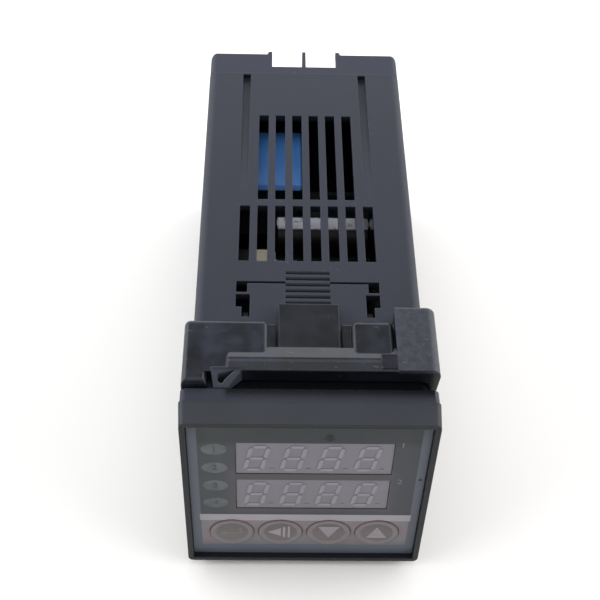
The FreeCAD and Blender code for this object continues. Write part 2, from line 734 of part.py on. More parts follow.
def filter_capacitor():
    """Round capacitor lying across the case, with a crimp and a pressed top."""
    r = CAPACITOR_RADIUS
    length = CAPACITOR_LENGTH
    bevel = r / 12
    crimp = r / 3
    profile = [
        (0, 0), (r - bevel, 0), (r, crimp), (r - bevel, crimp + bevel),
        (r, crimp + 2 * bevel), (r, length - bevel), (r - bevel, length), (0, length),
    ]
    y = CASE_LENGTH - CAPACITOR_FROM_REAR
    corners = [Vector(BOARD_INNER - along, y + radius, CAPACITOR_RISE) for radius, along in profile]
    face = Part.Face(Part.makePolygon(corners + corners[:1]))
    return face.revolve(Vector(0, y, CAPACITOR_RISE), Vector(1, 0, 0), 360)


def transformer_room():
    """Corners of the transformer: x0, x1, y0, y1, z0, z1."""
    y1 = CASE_LENGTH - TRANSFORMER_FROM_REAR
    z1 = TRANSFORMER_BOTTOM + TRANSFORMER_WIDTH
    x0 = BOARD_INNER - TRANSFORMER_HEIGHT
    return x0, BOARD_INNER, y1 - TRANSFORMER_LENGTH, y1, TRANSFORMER_BOTTOM, z1


def transformer_core():
    """Closed ferrite frame with a middle leg."""
    x0, x1, y0, y1, z0, z1 = transformer_room()
    inset = CORE_LEG / 2
    frame = box(x0, x1, y0, y1, z0 + inset, z1 - inset)
    middle = (y0 + y1) / 2
    half = CORE_LEG / 2
    for a, b in ((y0 + half, middle - half), (middle + half, y1 - half)):
        frame = frame.cut(box(x0 + inset, x1 - inset, a, b, z0 - 1, z1 + 1))
    return frame


def transformer_winding():
    """Taped winding round the core's middle leg."""
    x0, x1, y0, y1, z0, z1 = transformer_room()
    inset = CORE_LEG / 2
    c = WINDING_CLEAR
    middle = (y0 + y1) / 2
    half = CORE_LEG / 2
    coil = box(x0 + inset + c, x1 - inset - c, y0 + half + c, y1 - half - c, z0, z1)
    coil = coil.makeChamfer(CORE_LEG / 4, edges_along(coil, Vector(1, 0, 0)))
    leg = box(x0, x1, middle - half - c, middle + half + c, z0 + inset - c, z1 - inset + c)
    return coil.cut(leg)


def board_plug():
    """Cream wire connector on the left board, open at its top."""
    y1 = CASE_LENGTH - PLUG_FROM_REAR
    y0 = y1 - PLUG_LENGTH
    x1 = -BOARD_INNER + PLUG_HEIGHT
    wall = PLUG_LENGTH / 6
    z1 = PLUG_BOTTOM + PLUG_WIDTH
    body = box(-BOARD_INNER, x1, y0, y1, PLUG_BOTTOM, z1)
    well = box(x1 - PLUG_HEIGHT / 2, x1 + 1, y0 + wall, y1 - wall, PLUG_BOTTOM + wall, z1 - wall)
    third = PLUG_WIDTH / 3
    key = box(x1 - PLUG_HEIGHT / 3, x1 + 1, y1 - 2 * wall, y1 + 1, PLUG_BOTTOM + third, z1 - third)
    return body.cut([well, key])


def control_chip():
    """Chip with two rows of legs, flat on the left board."""
    y0 = CHIP_FROM_FRONT
    y1 = y0 + CHIP_LENGTH
    z1 = CHIP_BOTTOM + CHIP_WIDTH
    x0 = -BOARD_INNER
    seat = CHIP_HEIGHT / 4
    body = box(x0 + seat, x0 + CHIP_HEIGHT, y0, y1, CHIP_BOTTOM, z1)
    middle = (CHIP_BOTTOM + z1) / 2
    face = x0 + CHIP_HEIGHT
    notch = box(face - seat, face + 1, y0 - 1, y0 + seat, middle - seat, middle + seat)
    body = body.cut(notch)
    legs = []
    for y in spread(HEADER_PINS, CHIP_LENGTH / HEADER_PINS, (y0 + y1) / 2):
        s = PIN_SIZE / 2
        legs.append(box(x0, x0 + CHIP_HEIGHT / 2, y - s, y + s, CHIP_BOTTOM - s, CHIP_BOTTOM + s))
        legs.append(box(x0, x0 + CHIP_HEIGHT / 2, y - s, y + s, z1 - s, z1 + s))
    return join([body] + legs)


# ---- Terminal base -------------------------------------------------------------
def terminal_places():
    """Centres of the terminals as (side, z), left column first."""
    heights = spread(TERMINALS, TERMINAL_PITCH)
    return [(side, z) for side in (-1, 1) for z in reversed(heights)]


def barrier_ribs():
    """Left column of barrier ribs, each with a raised tip at the channel."""
    ribs = []
    for z in spread(TERMINALS + 1, TERMINAL_PITCH):
        z0 = z - RIB_THICK / 2
        z1 = z + RIB_THICK / 2
        ribs.append(box(-BASE_HALF, -CHANNEL_HALF, DECK - 0.1, BASE_REAR, z0, z1))
        tip = [
            (-CHANNEL_HALF, DECK), (-CHANNEL_HALF, BASE_REAR + TIP_HEIGHT),
            (-CHANNEL_HALF - TIP_LENGTH / 2, BASE_REAR + TIP_HEIGHT),
            (-CHANNEL_HALF - TIP_LENGTH, BASE_REAR - TIP_HEIGHT), (-CHANNEL_HALF - TIP_LENGTH, DECK),
        ]
        ribs.append(prism_z(tip, z0, z1))
    return ribs


def snap_lugs():
    """Two wedge lugs on the left of the spigot, for the case's windows."""
    y1 = CASE_LENGTH - SNAP_LENGTH - SEAT_GAP
    y0 = y1 - SNAP_LENGTH + 2 * SEAT_GAP
    half = SNAP_WIDTH / 2 - SEAT_GAP
    inner = -SKIRT_HALF + 0.1
    outer = -SKIRT_HALF - SNAP_HEIGHT
    lugs = []
    for z in (-SNAP_SPREAD / 2, SNAP_SPREAD / 2):
        wedge = [(inner, y0), (-SKIRT_HALF, y0), (outer, y1), (inner, y1)]
        lugs.append(prism_z(wedge, z - half, z + half))
    return lugs


def rear_terminal_base():
    """Rear moulding: plate, spigot, two barrier columns and a middle fin."""
    plate = box(-BASE_HALF, BASE_HALF, CASE_LENGTH, DECK, -BASE_HALF, BASE_HALF)
    spigot = square_tube(SKIRT_HALF, SKIRT_CORNER, SPIGOT_FRONT, CASE_LENGTH + 0.1)
    spigot = spigot.cut(square_tube(HOLLOW_HALF, SKIRT_CORNER, SPIGOT_FRONT - 1, CASE_LENGTH))
    side = box(-BASE_HALF, -BASE_HALF + SIDE_WALL, DECK - 0.1, BASE_REAR, -BASE_HALF, BASE_HALF)
    left = barrier_ribs() + [side] + snap_lugs()
    fin = box(-FIN_THICK / 2, FIN_THICK / 2, DECK - 0.1, BASE_REAR + TIP_HEIGHT, -BASE_HALF, BASE_HALF)
    base = join([plate, spigot, fin] + left + [mirrored_x(piece) for piece in left])
    envelope = square_tube(BASE_HALF, BASE_CORNER, SPIGOT_FRONT - 1, BASE_REAR + TIP_HEIGHT + 1)
    base = base.common(join([envelope, snap_envelope()]))
    base = base.common(rounded_rear())
    holes = []
    for side_sign, z in terminal_places():
        x = side_sign * TERMINAL_X
        holes.append(rod_y(x, z, SCREW_RADIUS + HOLE_PLAY, CASE_LENGTH - 1, DECK + 1))
        holes.append(leg_bar(side_sign, z, LEG_WIDTH / 2 + SEAT_GAP, SEAT_GAP, SPIGOT_FRONT - 1, DECK + 1))
    return base.cut(holes)


def snap_envelope():
    """Room round the spigot that keeps the snap lugs."""
    reach = SKIRT_HALF + SNAP_HEIGHT + 1
    return box(-reach, reach, SPIGOT_FRONT - 1, CASE_LENGTH, -BASE_HALF, BASE_HALF)


def rounded_rear():
    """A block whose two outer rear edges are rounded, as the ears are."""
    reach = BASE_HALF + 2
    rear = BASE_REAR + TIP_HEIGHT
    block = box(-BASE_HALF, BASE_HALF, SPIGOT_FRONT - 2, BASE_REAR, -reach, reach)
    upright = edges_along(block, Vector(0, 0, 1))
    block = block.makeFillet(BASE_CORNER, [e for e in upright if e.CenterOfMass.y > CASE_LENGTH])
    half = BASE_HALF - 2 * BASE_CORNER
    middle = box(-half, half, BASE_REAR - 1, rear, -reach, reach)
    lugs = box(-reach, reach, SPIGOT_FRONT - 2, CASE_LENGTH, -reach, reach)
    return join([block, middle, lugs])


def leg_bar(side, z, half_width, play, y0, y1):
    """Bar along a contact's leg, outside the side board."""
    inner = BOARD_OUTER - play
    outer = BOARD_OUTER + CONTACT_THICK + play
    if side > 0:
        return box(inner, outer, y0, y1, z - half_width, z + half_width)
    return box(-outer, -inner, y0, y1, z - half_width, z + half_width)


def terminal_contact(side, z):
    """Plate under a terminal screw, with a leg that lies along the board."""
    x = side * TERMINAL_X
    half_z = CONTACT_WIDTH / 2
    ends = sorted([side * (CHANNEL_HALF + CONTACT_MARGIN), side * (BOARD_OUTER + CONTACT_THICK)])
    plate = box(ends[0], ends[1], DECK, WASHER_FRONT, z - half_z, z + half_z)
    leg = leg_bar(side, z, LEG_WIDTH / 2, 0, WASHER_FRONT - LEG_LENGTH - CONTACT_THICK, WASHER_FRONT)
    tapped = rod_y(x, z, SCREW_RADIUS + THREAD_PLAY, DECK - 1, WASHER_FRONT + 1)
    return join([plate, leg]).cut(tapped)


def terminal_washers():
    """Square washers under the screw heads."""
    washers = []
    half = WASHER_SIZE / 2
    for side, z in terminal_places():
        x = side * TERMINAL_X
        plate = box(x - half, x + half, WASHER_FRONT, HEAD_FRONT, z - half, z + half)
        washers.append(plate.cut(rod_y(x, z, SCREW_RADIUS + THREAD_PLAY, WASHER_FRONT - 1, HEAD_FRONT + 1)))
    return Part.makeCompound(washers)


def terminal_screws():
    """Round-headed screws."""
    screws = []
    for side, z in terminal_places():
        x = side * TERMINAL_X
        head = rod_y(x, z, HEAD_RADIUS, HEAD_FRONT, HEAD_FRONT + HEAD_HEIGHT)
        head = head.makeChamfer(HEAD_BEVEL, edges_at(head, "Y", HEAD_FRONT + HEAD_HEIGHT))
        shank = rod_y(x, z, SCREW_RADIUS, HEAD_FRONT - SCREW_LENGTH, HEAD_FRONT)
        d = DRIVE_WIDTH / 2
        reach = HEAD_RADIUS - HEAD_BEVEL
        y0 = HEAD_FRONT + HEAD_HEIGHT - DRIVE_DEPTH
        y1 = HEAD_FRONT + HEAD_HEIGHT + 1
        slot = box(x - reach, x + reach, y0, y1, z - d, z + d)
        screws.append(join([head, shank]).cut(slot))
    return Part.makeCompound(screws)


# ---- Mounting collar -----------------------------------------------------------
def soft_block(x0, x1, y0, y1, joined):
    """A block on the collar's upper side, rounded except where it joins another part."""
    top = CASE_HALF + BLOCK_HEIGHT
    block = box(x0, x1, y0, y1, COLLAR_INNER, top)
    edges = edges_at(block, "Z", top)
    edges += [e for e in edges_along(block, Vector(0, 0, 1)) if e.CenterOfMass.y > y1 - 0.01]
    edges = [e for e in edges if abs(e.CenterOfMass.y - joined) > 0.01]
    return block.makeFillet(SOFT_ROUND, edges)


def cross_bar():
    """Ridge across the collar's front, sloping gently forwards and steeply back."""
    y0 = COLLAR_FRONT
    top = CASE_HALF + BAR_HEIGHT
    low = CASE_HALF + TONGUE_LIFT + TONGUE_THICK
    ridge = y0 + BAR_LEAD
    level = top - RIDGE_FALL
    profile = [
        (y0, COLLAR_INNER), (y0, top - BAR_DROP), (ridge, top), (ridge + BAR_RIDGE, level),
        (SLOPE_TOP, level), (BAR_REAR, low), (BAR_REAR, COLLAR_INNER),
    ]
    tower = COLLAR_HALF - TOWER_WIDTH + TOWER_PROUD
    bar = prism_x(profile, -BAR_REACH, tower + 1)
    end = [e for e in edges_at(bar, "X", -BAR_REACH) if e.BoundBox.ZMax > level - 1e-4]
    bar = bar.makeFillet(EDGE_ROUND, end)
    y1 = y0 + SHOULDER_SET
    shoulder = box(SHOULDER_INNER, tower + 1, y1, y1 + SHOULDER_LENGTH, COLLAR_INNER, top)
    return join([bar, shoulder])


def pawl_tooth(y):
    """Ratchet tooth under the tongue with its steep side at a given depth."""
    root = CASE_HALF + TONGUE_LIFT
    tip = CASE_HALF + PAWL_PLAY
    sunk = root + TONGUE_THICK / 2
    back = y - RACK_PITCH * PAWL_FILL
    profile = [(y, sunk), (y, root), (y - RACK_PITCH / 2, tip), (back, root), (back, sunk)]
    return prism_x(profile, -RACK_WIDTH / 2, RACK_WIDTH / 2)


def ratchet_tongue():
    """Spring tongue behind the cross bar, with pawl teeth under its end."""
    y0 = SLOPE_TOP
    y1 = BAR_REAR + TONGUE_LENGTH
    low = CASE_HALF + TONGUE_LIFT
    high = low + TONGUE_THICK
    bevel = TONGUE_THICK / 2
    profile = [(y0, low), (y0, high), (y1 - bevel, high), (y1, high - bevel), (y1, low)]
    tongue = prism_x(profile, -TONGUE_WIDTH / 2, TONGUE_WIDTH / 2)
    teeth = [pawl_tooth(y1 - i * RACK_PITCH) for i in range(PAWL_TEETH)]
    return join([tongue] + teeth)


def spring_loop():
    """Spring foot with a drop-shaped eye, sloping down from the bar to the panel."""
    x0 = -COLLAR_HALF + LOOP_INSET
    nose_x = x0 + LOOP_NOSE_INSET
    y1 = COLLAR_FRONT + EDGE_ROUND
    z0 = COLLAR_INNER
    z1 = z0 + LOOP_RISE
    outline = [(x0, y1), (x0 + LOOP_WIDTH, y1), (nose_x + LOOP_NOSE, FOOT_GAP), (nose_x, FOOT_GAP)]
    body = prism_z(outline, z0, z1)
    ahead = FOOT_GAP - 1
    slope = [(ahead, z0 + LOOP_TIP), (FOOT_GAP, z0 + LOOP_TIP), (COLLAR_FRONT, z1), (ahead, z1)]
    above = prism_x(slope, x0 - 1, x0 + LOOP_WIDTH + 1)
    eye_x = nose_x + LOOP_NOSE / 2
    eye_y = FOOT_GAP + 2 * EYE_RADIUS
    eye = Part.makeCylinder(EYE_RADIUS, LOOP_RISE + 2, Vector(eye_x, eye_y, z0 - 1))
    point = (eye_x + EYE_LENGTH, COLLAR_FRONT)
    taper = prism_z([(eye_x, eye_y - EYE_RADIUS), point, (eye_x, eye_y + EYE_RADIUS)], z0 - 1, z1 + 1)
    return body.cut([above, eye, taper])


def corner_foot():
    """Corner foot that reaches forward to the panel, on the top and the side."""
    y1 = COLLAR_FRONT + 1
    upper = soft_block(-COLLAR_HALF, -COLLAR_HALF + FOOT_WIDTH, FOOT_GAP, y1, y1)
    low = COLLAR_INNER - FOOT_DROP
    side = box(-COLLAR_HALF, -COLLAR_INNER, FOOT_GAP, y1, low, COLLAR_INNER + 1)
    return [upper, side]


def corner_tower():
    """Tall corner block whose outer side stands out past the ring and tapers back to it."""
    inner = COLLAR_HALF - TOWER_WIDTH + TOWER_PROUD
    outer = COLLAR_HALF + TOWER_PROUD
    top = CASE_HALF + TOWER_HEIGHT
    low = top - TOWER_ROUND
    rear = COLLAR_REAR + TOWER_EXTRA
    foot = COLLAR_INNER - TOWER_DROP
    profile = [
        (inner, COLLAR_INNER - 1), (inner, top), (outer, top), (outer, low), (COLLAR_HALF, foot),
        (COLLAR_INNER - 1, foot),
    ]
    tower = prism_y(profile, COLLAR_FRONT, rear)
    shoulder = [e for e in edges_along(tower, Vector(0, 1, 0)) if e.BoundBox.XMin > outer - 1e-4]
    shoulder = [e for e in shoulder if e.BoundBox.ZMin > top - 1e-4]
    tower = tower.makeFillet(TOWER_ROUND - TOWER_EASE, shoulder)
    return tower.makeFillet(EDGE_ROUND, [e for e in edges_at(tower, "Y", rear) if e.BoundBox.ZMax > low])


def collar_upper_side():
    """Everything that stands on the collar's upper side."""
    block = soft_block(-COLLAR_HALF, -BLOCK_INNER, COLLAR_FRONT, COLLAR_REAR, COLLAR_FRONT)
    pad = soft_block(PAD_INNER, PAD_OUTER, SLOPE_TOP, COLLAR_REAR, SLOPE_TOP)
    return [block, pad, corner_tower(), cross_bar(), spring_loop()] + corner_foot()


def mounting_collar():
    """Square ring that slides on the case and clamps the panel."""
    ring = square_tube(COLLAR_HALF, COLLAR_CORNER, COLLAR_FRONT, COLLAR_REAR)
    upper = collar_upper_side()
    ring = join([ring] + upper + [turned(piece) for piece in upper])
    bore_end = COLLAR_REAR + TOWER_EXTRA + 1
    bore = square_tube(COLLAR_INNER, CASE_CORNER - COLLAR_PLAY, -1, bore_end)
    half = TONGUE_WIDTH / 2 + TONGUE_SLIT
    gap = box(-half, half, BAR_REAR, COLLAR_REAR + 1, CASE_HALF - 1, FAR)
    ring = ring.cut([bore, gap, turned(gap)])
    tongue = ratchet_tongue()
    return join([ring, tongue, turned(tongue)])


# ---- Write every piece ---------------------------------------------------------
def all_pieces():
    """Every node's name and shape."""
    pieces = {
        "case_shell": case_shell(),
        "rear_terminal_base": rear_terminal_base(),
        "terminal_screws": terminal_screws(),
        "terminal_washers": terminal_washers(),
        "front_bezel": front_bezel(),
        "fascia_overlay": fascia_overlay(),
        "pv_display": display_block(PV_Z),
        "pv_segments": display_segments(PV_Z),
        "sv_display": display_block(SV_Z),
        "sv_segments": display_segments(SV_Z),
        "display_board": display_board(),
        "left_board": side_board(),
        "right_board": mirrored_x(side_board()),
        "left_header": board_header(),
        "right_header": mirrored_x(board_header()),
        "relay": relay(),
        "filter_capacitor": filter_capacitor(),
        "transformer_core": transformer_core(),
        "transformer_winding": transformer_winding(),
        "board_plug": board_plug(),
        "control_chip": control_chip(),
        "mounting_collar": mounting_collar(),
    }
    for number, (side, z) in enumerate(terminal_places(), 1):
        pieces["terminal_contact_%d" % number] = terminal_contact(side, z)
    for number, z in enumerate(lamp_places(), 1):
        pieces["indicator_lens_%d" % number] = indicator_lens(z)
        pieces["indicator_led_%d" % number] = indicator_led(z)
    for number, x in enumerate(key_places(), 1):
        pieces["key_cap_%d" % number] = key_cap(x)
        pieces["switch_body_%d" % number] = switch_body(x)
        pieces["switch_plunger_%d" % number] = switch_plunger(x)
    return pieces


os.makedirs("parts", exist_ok=True)
for name, shape in all_pieces().items():
    shape.exportStep("parts/" + name + ".step")
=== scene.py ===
"""Looks of a panel-mounted temperature controller with a sliding mounting collar.

The origin is the centre of the panel plane, +X is to the right seen from the
front, +Y goes rearwards and +Z is up.  The scene is in metres.  Sizes here are in
millimetres, apart from the lights', and MM turns them into metres.
"""
import json
import math

import bpy
import numpy as np
from mathutils import Matrix, Vector


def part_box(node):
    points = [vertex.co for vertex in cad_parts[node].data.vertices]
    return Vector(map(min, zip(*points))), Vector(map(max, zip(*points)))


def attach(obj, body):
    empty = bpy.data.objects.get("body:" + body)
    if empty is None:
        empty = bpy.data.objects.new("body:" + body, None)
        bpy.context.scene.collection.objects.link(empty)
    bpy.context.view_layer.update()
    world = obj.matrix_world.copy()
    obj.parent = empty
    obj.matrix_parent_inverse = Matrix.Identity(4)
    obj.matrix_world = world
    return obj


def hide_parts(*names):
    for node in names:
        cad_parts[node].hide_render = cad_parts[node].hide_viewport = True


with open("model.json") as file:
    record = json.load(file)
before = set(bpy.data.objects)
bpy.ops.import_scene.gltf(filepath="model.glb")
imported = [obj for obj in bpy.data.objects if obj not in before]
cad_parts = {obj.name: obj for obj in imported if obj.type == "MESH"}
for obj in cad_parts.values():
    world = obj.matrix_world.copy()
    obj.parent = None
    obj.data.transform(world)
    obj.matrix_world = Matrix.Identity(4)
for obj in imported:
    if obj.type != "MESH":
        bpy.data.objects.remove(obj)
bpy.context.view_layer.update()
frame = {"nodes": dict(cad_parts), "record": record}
MM = 0.001

# ---- Places read from the frame, in millimetres --------------------------------


def box_mm(node):
    """Lowest and highest corner of a CAD node, in millimetres."""
    low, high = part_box(node)
    return np.array(low) / MM, np.array(high) / MM


OVERLAY_FACE = box_mm("fascia_overlay")[0][1]
KEY_BOXES = [box_mm("key_cap_%d" % n) for n in range(1, 5)]
KEY_CENTRES = [(low + high) / 2 for low, high in KEY_BOXES]
KEY_RADIUS = (KEY_BOXES[0][1][0] - KEY_BOXES[0][0][0]) / 2
LAMP_BOXES = [box_mm("indicator_lens_%d" % n) for n in range(1, 5)]
CASE_REAR = box_mm("case_shell")[1][1]
RELAY_TOP = box_mm("relay")[1][2]
CAPACITOR_TOP = box_mm("filter_capacitor")[1][2]
FLOOR_Z = box_mm("mounting_collar")[0][2]
SCREW_HIGH = box_mm("terminal_screws")[1]

# ---- Sizes and places of prints and finishes, in millimetres -------------------
INK_THICK = 0.03
KEY_DISH_FACE = KEY_BOXES[0][0][1] + 0.3
FILM_FIELD_X = (-20.7, 20.8)                    # dark and warm fields of the film
FILM_LINE_X = (-20.9, 21.0)                     # pale line between them
FILM_LINE_Z = (-10.1, -7.85)
FILM_FIELD_BOTTOM = -19.2
FILM_SCUFF = (3.7, 18.1)                        # X and Z of a scuff on the film
FILM_NICK = (21.6, 4.7)                         # X and Z of a nick at its edge
SHADED_FLANGE_BAND = (-1.6, 3.3)                       # Y of the band where the collar's shadow is painted
UNSHADED_CORNER = (-15.6, 20.0)                 # X and Z of the corner that the painted shadow leaves out
NOTCH_DEPTHS = (20.6, 21.95)                    # distance of the rack's notches from the middle
NOTCH_BAND = (11.0, 33.0)                       # Y of the rack
RACK_HALF = 4.5
TOWER_INNER = 16.3                              # the collar's tall corner block
TOWER_SHELF = 25.0
POINT_PLACES = (-7.24, -0.29, 6.67, 13.62)      # X of the decimal points
POINT_ROWS = ((7.2, 8.2), (-4.8, -3.8))         # Z of the points' two rows
LABEL_PLACES = ((17.4, 16.1), (17.75, 4.07))    # X and Z of the displays' numerals
LAMP_NUMERAL_HEIGHT = 1.6
LABEL_HEIGHT = 1.5
TERMINAL_NUMERAL_HEIGHT = 2.4
TERMINAL_NUMERAL_X = 4.1
TERMINAL_DECK = CASE_REAR + 2.5                 # rear face that carries the numerals
# Depth under the relay's top that keeps its blue; below it the sides carry painted shade.
RELAY_UNSHADED_DEPTH = 0.9
HIGHLIGHT_DROP = 0.32                              # lower edge of the capacitor's painted highlight under its top
FLOOR_REACH = 3000.0

# ---- Sizes of a terminal screw, in millimetres ---------------------------------
HEAD_RADIUS = 2.8
HEAD_HEIGHT = 1.8
SHANK_RADIUS = 1.5
SHANK_LENGTH = 5.0
THREAD_PITCH = 0.5
THREAD_DEPTH = 0.22
SCREW_SIDES = 96
HEAD_BASE = SCREW_HIGH[1] - HEAD_HEIGHT
SCREW_X = SCREW_HIGH[0] - HEAD_RADIUS
SCREW_PITCH = (SCREW_HIGH[2] - HEAD_RADIUS) / 2

# ---- Camera --------------------------------------------------------------------
CAMERA_PLACE = (-7.657, -138.07, 201.79)
CAMERA_AIM = (-0.845, 43.35, 0.0)
CAMERA_ROLL = math.radians(2.24)
CAMERA_LENS = 73.7
SENSOR = 36.0


def add_camera():
    """Camera looking down on the front and the top of the case."""
    data = bpy.data.cameras.new("camera")
    data.lens = CAMERA_LENS
    data.sensor_width = SENSOR
    data.clip_start = 0.01
    camera = bpy.data.objects.new("camera", data)
    bpy.context.scene.collection.objects.link(camera)
    place = Vector(CAMERA_PLACE) * MM
    ahead = (Vector(CAMERA_AIM) * MM - place).normalized()
    turn = ahead.to_track_quat("-Z", "Y").to_matrix().to_4x4()
    camera.matrix_world = Matrix.Translation(place) @ turn @ Matrix.Rotation(CAMERA_ROLL, 4, "Z")
    bpy.context.scene.camera = camera


# ---- Shader maths --------------------------------------------------------------
class Number:
    """A number that varies over a surface; arithmetic on it adds Math nodes."""

    def __init__(self, finish, socket):
        self.finish = finish
        self.socket = socket

    def maths(self, operation, *values):
        made = self.finish.node("ShaderNodeMath", {"operation": operation}, dict(enumerate(values)))
        return Number(self.finish, made.outputs[0])

    def __add__(self, other):
        return self.maths("ADD", self, other)

    def __sub__(self, other):
        return self.maths("SUBTRACT", self, other)

    def __rsub__(self, other):
        return self.maths("SUBTRACT", other, self)

    def __mul__(self, other):
        return self.maths("MULTIPLY", self, other)

    def __truediv__(self, other):
        return self.maths("DIVIDE", self, other)

    def __pow__(self, power):
        return self.maths("POWER", self, power)

    __radd__ = __add__
    __rmul__ = __mul__

    def abs(self):
        return self.maths("ABSOLUTE", self)

    def fraction(self):
        return self.maths("FRACT", self)

    def high(self, other):
        return self.maths("MAXIMUM", self, other)

    def low(self, other):
        return self.maths("MINIMUM", self, other)

    def above(self, edge, soft):
        """0 below the edge and 1 above it, with a soft crossing."""
        settings = {"interpolation_type": "SMOOTHSTEP"}
        sockets = {"Value": self, "From Min": edge - soft, "From Max": edge + soft}
        made = self.finish.node("ShaderNodeMapRange", settings, sockets)
        return Number(self.finish, made.outputs["Result"])

    def below(self, edge, soft):
        return 1.0 - self.above(edge, soft)

    def between(self, low, high, soft):
        return self.above(low, soft) * self.below(high, soft)


def tone(red, green, blue):
    """A display colour, 0 to 255, as a linear colour with alpha."""
    linear = [((c / 255 + 0.055) / 1.055) ** 2.4 if c > 10 else c / 255 / 12.92 for c in (red, green, blue)]
    return tuple(linear) + (1.0,)


class Finish:
    """One material: its node tree, its shader and its place in millimetres."""

    def __init__(self, name):
        self.material = bpy.data.materials.new(name)
        self.material.use_nodes = True
        self.tree = self.material.node_tree
        self.tree.nodes.clear()
        self.shader = self.node("ShaderNodeBsdfPrincipled")
        self.node("ShaderNodeOutputMaterial", {}, {"Surface": self.shader.outputs["BSDF"]})
        metres = self.node("ShaderNodeTexCoord").outputs["Object"]
        scaled = self.node("ShaderNodeVectorMath", {"operation": "SCALE"}, {0: metres, "Scale": 1 / MM})
        self.place = scaled.outputs["Vector"]
        axes = self.node("ShaderNodeSeparateXYZ", {}, {"Vector": self.place})
        self.x, self.y, self.z = [Number(self, axes.outputs[axis]) for axis in "XYZ"]

    def node(self, kind, settings=None, sockets=None):
        """Adds a node: its settings first, then the values or links of its sockets."""
        made = self.tree.nodes.new(kind)
        for name, value in (settings or {}).items():
            setattr(made, name, value)
        for key, value in (sockets or {}).items():
            self.feed(made.inputs[key], value)
        return made

    def feed(self, socket, value):
        """Gives a socket a number, a colour, another socket or a Number."""
        if isinstance(value, Number):
            value = value.socket
        if isinstance(value, bpy.types.NodeSocket):
            self.tree.links.new(value, socket)
        elif socket.type == "VECTOR":
            socket.default_value = value[:3]
        else:
            socket.default_value = value

    def noise(self, size, detail=2.0, roughness=0.5, stretch=(1, 1, 1), turn=0.0):
        """Cloudy noise about 0.5 whose blotches are about size millimetres."""
        place = self.place
        if turn:
            sockets = {"Vector": place, "Axis": (0.35, 0.5, 0.8), "Angle": math.radians(turn)}
            place = self.node("ShaderNodeVectorRotate", {}, sockets).outputs["Vector"]
        if stretch != (1, 1, 1):
            squeezed = self.node("ShaderNodeVectorMath", {"operation": "MULTIPLY"}, {0: place, 1: stretch})
            place = squeezed.outputs["Vector"]
        sockets = {"Vector": place, "Scale": 1 / size, "Detail": detail, "Roughness": roughness}
        return Number(self, self.node("ShaderNodeTexNoise", {}, sockets).outputs[0])

    def cells(self, size, feature="F1", jitter=1.0):
        """Distance to the nearest of scattered points about size millimetres apart."""
        sockets = {"Vector": self.place, "Scale": 1 / size, "Randomness": jitter}
        made = self.node("ShaderNodeTexVoronoi", {"feature": feature}, sockets)
        return Number(self, made.outputs["Distance"])

    def mix(self, mask, first, second):
        """The first colour where the mask is 0, the second where it is 1."""
        sockets = {0: mask, 6: first, 7: second}
        return self.node("ShaderNodeMix", {"data_type": "RGBA"}, sockets).outputs[2]

    def shade(self, colour, amount):
        """A colour made lighter or darker by a number about 1."""
        settings = {"operation": "SCALE"}
        return self.node("ShaderNodeVectorMath", settings, {0: colour, "Scale": amount}).outputs["Vector"]

    def soft_edge(self, radius):
        """The normal with edges rounded to a radius in millimetres."""
        return self.node("ShaderNodeBevel", {"samples": 6}, {"Radius": radius * MM}).outputs["Normal"]

    def edge_mask(self, radius):
        """1 close to sharp edges, 0 on open faces."""
        true = self.node("ShaderNodeNewGeometry").outputs["Normal"]
        rounded = self.soft_edge(radius)
        dot = self.node("ShaderNodeVectorMath", {"operation": "DOT_PRODUCT"}, {0: true, 1: rounded})
        return 1.0 - Number(self, dot.outputs["Value"])

    def bump(self, height, depth, normal=None):
        """A normal from a height between 0 and 1 that stands for depth millimetres."""
        sockets = {"Height": height, "Distance": depth * MM, "Strength": 1.0}
        if normal is not None:
            sockets["Normal"] = normal
        return self.node("ShaderNodeBump", {}, sockets).outputs["Normal"]

    def finish(self, colour, roughness, normal=None, metallic=None, **constants):
        """Feeds the shader and returns the material."""
        self.feed(self.shader.inputs["Base Color"], colour)
        self.feed(self.shader.inputs["Roughness"], roughness)
        if normal is not None:
            self.feed(self.shader.inputs["Normal"], normal)
        if metallic is not None:
            self.feed(self.shader.inputs["Metallic"], metallic)
        for name, value in constants.items():
            self.shader.inputs[name.replace("_", " ")].default_value = value
        return self.material


# ---- Materials -----------------------------------------------------------------
def moulded_plastic(name, colour, dusty, roughness, shine, grain, depth, rounding, settled=None, clean=None):
    """Dark moulded plastic: fine grain, cloudy tone, rubbed edges, a few hair scratches and dust.

    The last two are functions of the finish that give masks: where painted light makes the surface paler,
    and where painted shade makes it darker and smoother.
    """
    f = Finish(name)
    clouds = f.noise(14.0, 3.0, 0.55)
    fine = f.noise(grain, 2.0, 0.6)
    edges = (f.edge_mask(rounding * 1.6) * 2.2).low(1.0)
    rubbed = edges * f.noise(2.5, 3.0).above(0.45, 0.2)
    slanting = f.noise(0.5, 1.0, 0.5, (0.05, 1.0, 1.0), 28.0).above(0.74, 0.02)
    crossing = f.noise(0.5, 1.0, 0.5, (1.0, 0.06, 1.0), -35.0).above(0.74, 0.02)
    hairs = (slanting + crossing) * f.noise(7.0, 2.0).above(0.54, 0.06) * 0.5
    specks = f.cells(1.3).below(0.08, 0.05) * f.noise(6.0).above(0.52, 0.05)
    dust = (rubbed * 0.25 + hairs * 0.5 + specks * 0.4).low(1.0)
    # Painted light: this mask turns the colour paler, towards the dusty tone, so from here dust also carries
    # painted light.
    if settled is not None:
        dust = dust.high(settled(f) * (0.2 + clouds * 0.12))
    base = f.shade(colour, 0.84 + clouds * 0.32)
    tinted = f.mix(dust, base, dusty)
    rough = roughness + (clouds - 0.5) * 0.12 + (fine - 0.5) * 0.10 + dust * 0.10
    # Painted shade: this mask darkens the colour and makes it smoother.
    if clean is not None:
        shade_amount = clean(f)
        tinted = f.shade(tinted, 1.0 - shade_amount * 0.85)
        rough = rough - shade_amount * 0.36
    normal = f.bump(fine + clouds * 0.3, depth, f.soft_edge(rounding))
    return f.finish(tinted, rough, normal, Specular_IOR_Level=shine)


